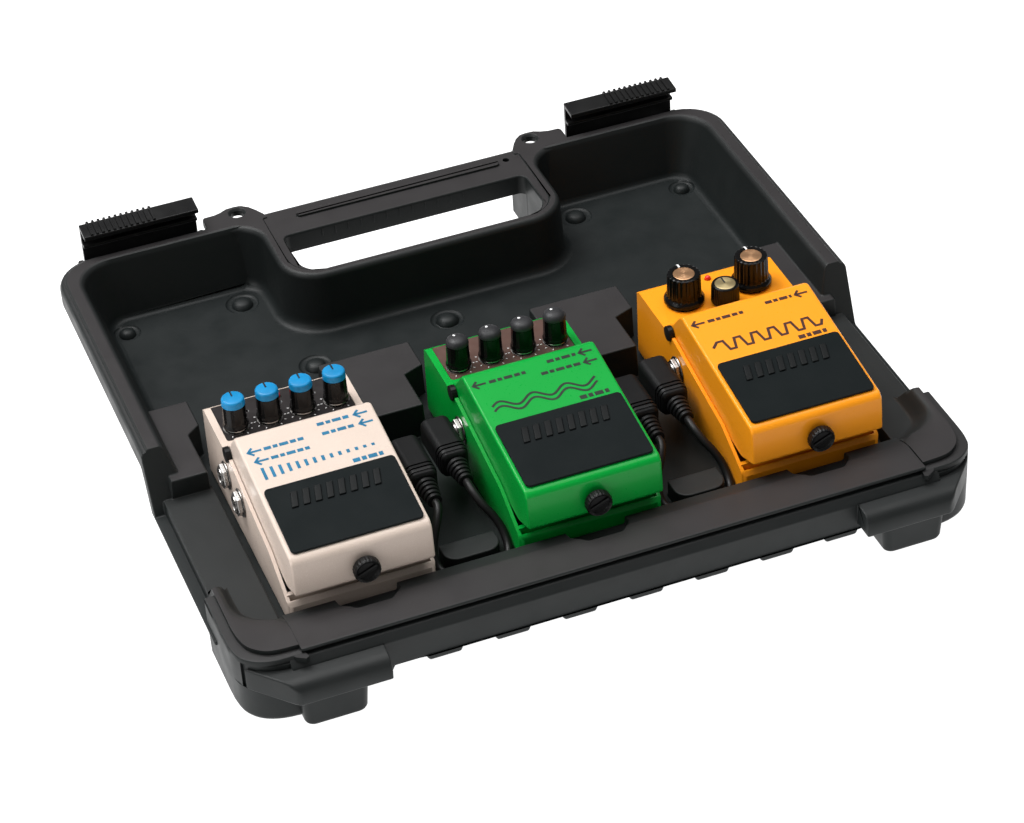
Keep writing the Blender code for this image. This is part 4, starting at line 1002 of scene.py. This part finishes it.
def build_disc_knob(name, px, x, y, word, large):
    """A fluted knob with a turned metal disc let into its top, and its pointer."""
    centre = (px + x, y)
    body = f"{name}_knob_{word}"
    if large:
        profile = ((0.0, 30.0), (2.6, 30.0), (2.6, 39.8), (9.6, 39.8), (10.0, 40.2), (10.0, 41.4),
                   (9.4, 42.2), (8.8, 42.8), (8.5, 43.6), (8.2, 54.4), (7.8, 55.2), (6.6, 55.5), (5.5, 55.3),
                   (5.4, 54.9), (0.0, 54.9))
        shape = turned(profile, "Z", centre, 120, flutes=(20, 0.55, 43.5, 54.5))
        disc = ((0.0, 54.7), (5.25, 54.7), (5.25, 55.1), (5.0, 55.2), (0.0, 55.2))
        slot, disc_mat, mark_mat = "knob_copper", COPPER, WHITE_INK
        width = (centre[0] - 0.45, centre[0] + 0.45)
        mark = merged(box(width, (y + 5.2, y + 7.6), (55.25, 55.56)),
                      box(width, (y + 7.6, y + 8.45), (44.0, 55.0)))
    else:
        profile = ((0.0, 30.0), (2.6, 30.0), (2.6, 39.8), (6.7, 39.8), (7.0, 40.1), (6.8, 48.8), (6.3, 49.7),
                   (5.7, 50.0), (5.3, 49.9), (5.2, 49.6), (0.0, 49.6))
        shape = turned(profile, "Z", centre, 144, flutes=(36, 0.3, 40.1, 48.9))
        disc = ((0.0, 49.4), (5.05, 49.4), (5.05, 49.75), (4.8, 49.85), (0.0, 49.85))
        slot, disc_mat, mark_mat = "knob_gold", GOLD, DARK_INK
        mark = box((centre[0] - 0.35, centre[0] + 0.35), (y + 0.4, y + 5.9), (49.7, 50.02))
    piece(f"{body}_body", shape, KNOB, body, [body])
    piece(f"{body}_disc", turned(disc, "Z", centre, 64), disc_mat, body)
    piece(f"{body}_mark", mark, mark_mat, body)


def build_nuts(name, px):
    """The shining nuts and washers that hold the pots below their knobs."""
    low = 38.32 if name in PANELS else 38.2
    high = 39.7 if name == "orange" else 39.9
    parts = []
    for x, y, word in KNOBS[name]:
        wide = 9.0 if name == "orange" and word != "middle" else 6.2
        foot = low - 0.45 if name == "orange" and word == "middle" else low
        profile = ((3.1, foot), (wide, foot), (wide, foot + 0.5), (wide - 1.0, low + 0.7), (wide - 1.4, high),
                   (3.1, high))
        parts.append(turned(profile, "Z", (px + x, y), 48))
    piece(f"{name}_pot_nuts", merged(*parts), NICKEL, "case")


def build_knobs(name, px):
    build_nuts(name, px)
    for x, y, word in KNOBS[name]:
        if name == "orange":
            build_disc_knob(name, px, x, y, word, word != "middle")
        else:
            build_small_knob(name, px, x, y, word)


def raised_line(a, b, width, low, high):
    run = (b - a).normalized()
    side = Vector((-run.y, run.x)) * (width / 2)
    return prism([tuple(p) for p in (a + side, b + side, b - side, a - side)], "Z", low, high)


def build_panel(name, px):
    """The printed plate below the knobs, with its scale ticks and dots."""
    outline = rounded((px - 31.5, px + 31.5), (95.0, 123.0), 1.2, 1.2, 4)
    plate = combined(prism(outline, "Z", 37.5, 38.3), deck_holes(name, px))
    piece(f"{name}_panel", plate, PANELS[name], "case", [f"{name}_control_plate"])
    print_low = 38.32
    ticks = []
    for x, y, _ in KNOBS[name]:
        for i in range(11):
            angle = math.radians(-60 + i * 30)
            near = Vector((math.cos(angle), math.sin(angle)))
            a = Vector((px + x, y)) + near * 7.0
            b = Vector((px + x, y)) + near * 7.9
            if abs(a.x - px) < 30.5:
                ticks.append(raised_line(a, b, 0.4, print_low, 38.4))
        for dx in (-8.2, 8.2):
            if abs(x + dx) < 30:
                ticks.append(rod(0.8, "Z", (px + x + dx, y + 9.8), print_low, 38.42, 12))
    piece(f"{name}_scale", merged(*ticks), WHITE_INK, "case", smooth=False)


def build_lamp(name, px):
    profile = ((0.0, 36.0), (1.5, 36.0), (1.5, 39.4), (1.35, 40.0), (0.9, 40.5), (0.0, 40.7))
    shape = turned(profile, "Z", (px + LED[0], LED[1]), 24)
    piece(f"{name}_lamp", shape, LAMP, "case", [f"{name}_check_led"])


def build_jacks(name, px):
    """A threaded barrel, a washer and a hexagonal nut at each socket."""
    barrel = ((3.6, 23.5), (4.6, 23.5), (4.6, 38.3), (4.3, 38.9), (3.8, 38.9), (3.6, 38.6))
    washer = ((4.62, 35.45), (7.0, 35.45), (7.1, 35.6), (7.0, 35.9), (4.62, 35.9))
    for side, y, word in JACKS[name]:
        centre = (y, JACK_Z)
        tube, ring = (turned([(r, px + side * s) for r, s in profile], "X", centre, 40)
                      for profile in (barrel, washer))
        hexagon = arc(y, JACK_Z, 6.3, 10, 300, 5)
        nut = softened(prism(hexagon, "X", *outward(px, side, 36.0, 38.2)), 0.35, 2)
        nut = combined(nut, [cut(rod(4.63, "X", centre, *outward(px, side, 34.0, 40.0), 40))])
        piece(f"{name}_socket_{word}", merged(tube, ring, nut), NICKEL, "case", [f"{name}_jack_{word}"])


def dress_hidden(name):
    """CAD pieces that stay as they are, with their own finish."""
    finishes = {"base_plate": STEEL, "circuit_board": LAMINATE, "return_spring": SPRING, "hinge_pin": SCREW}
    for word, mat in finishes.items():
        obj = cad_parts[f"{name}_{word}"]
        obj.data.materials.clear()
        obj.data.materials.append(mat)


# ======== plugs and cords

CORD_DIAMETER = 4.0
CORD_ROUTE = ((9.15, 37.8, 23.7), (9.15, 34.6, 23.6), (9.7, 30.0, 22.3), (11.8, 24.9, 18.7),
              (15.2, 20.4, 14.0), (17.3, 16.4, 9.6), (17.8, 12.4, 6.0), (17.3, 8.2, 3.5),
              (15.3, 3.9, 2.4), (11.6, 1.0, 2.1), (6.6, 0.0, 2.1), (0.0, -0.1, 2.1),
              (-6.4, 0.2, 2.1), (-11.6, 1.7, 2.1), (-15.2, 4.8, 2.5), (-17.0, 8.6, 4.4),
              (-17.2, 12.0, 8.0), (-16.2, 15.0, 12.3), (-14.2, 17.8, 16.5), (-11.9, 20.6, 20.0),
              (-10.1, 23.8, 22.5), (-9.2, 27.0, 23.6), (-9.15, 29.7, 23.7))


def build_plug(cord_name, word, px, side, y):
    """A right-angle plug with a rounded body, finger grooves and a ringed relief."""
    x = outward(px, side, 39.2, 53.6)
    z = (JACK_Z - 7.2, JACK_Z + 7.2)
    rear = y + 7.2
    nose = rear - 31.0
    tail = nose - 13.0
    rings = []
    for shrink, station in ((2.2, rear), (0.6, rear - 0.7), (0.0, rear - 2.0), (0.0, nose + 4.0),
                            (0.8, nose + 1.2), (2.2, nose)):
        corner = 3.6 - shrink
        outline = rounded((x[0] + shrink, x[1] - shrink), (z[0] + shrink, z[1] - shrink), corner, corner, 6)
        rings.append([(a, station, b) for a, b in outline])
    steps = []
    for i in range(3):
        station = nose + 1.8 + i * 2.6
        outer = rounded((x[0] - 1, x[1] + 1), (z[0] - 1, z[1] + 1), 3.0, 3.0, 4)
        inner = rounded((x[0] + 0.7, x[1] - 0.7), (z[0] + 0.7, z[1] - 0.7), 3.0, 3.0, 4)
        core = prism(inner, "Y", station - 1, station + 2)
        steps.append(cut(combined(prism(outer, "Y", station, station + 1.1), [cut(core)])))
    steps.append(add(rod(3.1, "X", (y, JACK_Z), *outward(px, side, 25.5, 42.0), 28)))
    body = combined(loft(rings), steps)
    profile = [(0.0, tail)]
    for i in range(5):
        base = 3.3 + i * 0.42
        start = tail + i * 2.6
        profile += [(base, start), (base + 0.25, start + 0.2), (base + 0.3, start + 1.6), (base, start + 1.8),
                    (base - 0.55, start + 1.9), (base - 0.5, start + 2.55)]
    profile += [(5.2, nose + 0.5), (0.0, nose + 0.5)]
    relief = turned(profile, "Y", ((x[0] + x[1]) / 2, JACK_Z), 32)
    return piece(f"plug_{cord_name}_{word}", merged(body, relief), PLUG, "case",
                 [f"cord_{cord_name}_plug_{word}"])


def build_cord(cord_name, centre):
    route = [tuple(TO_WORLD @ Vector((centre + u, y, z))) for u, y, z in CORD_ROUTE]
    points = [Vector(p) for p in finer(route, 6)]
    curve = bpy.data.curves.new(f"patch_cord_{cord_name}", "CURVE")
    curve.dimensions = "3D"
    curve.bevel_depth = CORD_DIAMETER / 2 * MM
    curve.bevel_resolution = 5
    curve.use_fill_caps = True
    curve.resolution_u = 1
    spline = curve.splines.new("POLY")
    spline.points.add(len(points) - 1)
    for target, spot in zip(spline.points, points):
        target.co = (*spot, 1.0)
    spline.use_smooth = True
    curve.materials.append(JACKET)
    obj = placed(f"patch_cord_{cord_name}", curve)
    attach(obj, "case")
    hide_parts(f"cord_{cord_name}")


# ======== floor, light and camera

CAMERA_AT = (-0.3951, -1.1777, 0.9594)
CAMERA_AZIMUTH = math.radians(-18.775)
CAMERA_ELEVATION = math.radians(37.414)
CAMERA_ROLL = math.radians(-3.834)
LENS = 111.92


def build_camera():
    a, e, r = CAMERA_AZIMUTH, CAMERA_ELEVATION, CAMERA_ROLL
    back = Vector((math.sin(a) * math.cos(e), -math.cos(a) * math.cos(e), math.sin(e)))
    level = Vector((math.cos(a), math.sin(a), 0.0))
    up = back.cross(level)
    right = level * math.cos(r) + up * math.sin(r)
    above = up * math.cos(r) - level * math.sin(r)
    camera = placed("camera", bpy.data.cameras.new("camera"))
    camera.matrix_world = Matrix.Translation(CAMERA_AT) @ Matrix((right, above, back)).transposed().to_4x4()
    camera.data.lens = LENS
    camera.data.sensor_width = 36.0
    camera.data.clip_start = 0.05
    camera.data.clip_end = 50.0
    bpy.context.scene.camera = camera


def area_light(name, spot, target, size, power):
    data = bpy.data.lights.new(name, "AREA")
    data.shape = "RECTANGLE"
    data.size, data.size_y = size
    data.energy = power
    light = placed(name, data)
    light.location = spot
    light.rotation_mode = "QUATERNION"
    light.rotation_quaternion = (Vector(target) - Vector(spot)).to_track_quat("-Z", "Y")


def build_stage():
    bm = bmesh.new()
    bmesh.ops.create_grid(bm, x_segments=1, y_segments=1, size=6.0)
    ground = Nodes("floor_paper", (0.30, 0.30, 0.30), 0.9, specular=0.0)
    ground.mottle(2.0, (0.32, 0.32, 0.32))
    ground.shader.inputs["Emission Color"].default_value = (1.0, 1.0, 1.0, 1.0)
    ground.shader.inputs["Emission Strength"].default_value = 1.05
    floor = placed("floor", mesh_from("floor", bm))
    floor.data.materials.append(ground.material)
    floor.location.z = -0.0004
    world = bpy.data.worlds.new("studio")
    world.use_nodes = True
    background = world.node_tree.nodes["Background"]
    background.inputs["Color"].default_value = (1.0, 1.0, 1.0, 1.0)
    background.inputs["Strength"].default_value = 0.16
    bpy.context.scene.world = world
    area_light("key", (-0.85, 0.75, 1.9), (0.0, 0.0, 0.0), (1.3, 1.0), 38.0)
    area_light("top", (0.1, 0.35, 2.4), (0.0, 0.0, 0.0), (2.2, 2.0), 44.0)
    area_light("left", (-2.0, -0.6, 1.2), (0.0, 0.0, 0.05), (1.0, 1.0), 10.0)
    bpy.context.scene.view_settings.view_transform = "Standard"
    bpy.context.scene.view_settings.look = "None"


# ======== assembly

build_stage()
build_camera()
for cord, (left, right) in CORDS.items():
    build_plug(cord, "out", PEDAL_X[right], -1, 75.0)
    build_plug(cord, "in", PEDAL_X[left], 1, 67.0)
for cord, gap in GAPS.items():
    build_cord(cord, gap)
build_case()
build_latch(-1, "left")
build_latch(1, "right")
for pedal, pedal_x in PEDAL_X.items():
    build_housing(pedal, pedal_x)
    build_treadle(pedal, pedal_x)
    build_print(pedal, pedal_x)
    build_screw(pedal, pedal_x)
    build_knobs(pedal, pedal_x)
    if pedal in PANELS:
        build_panel(pedal, pedal_x)
    build_lamp(pedal, pedal_x)
    build_jacks(pedal, pedal_x)
    dress_hidden(pedal)
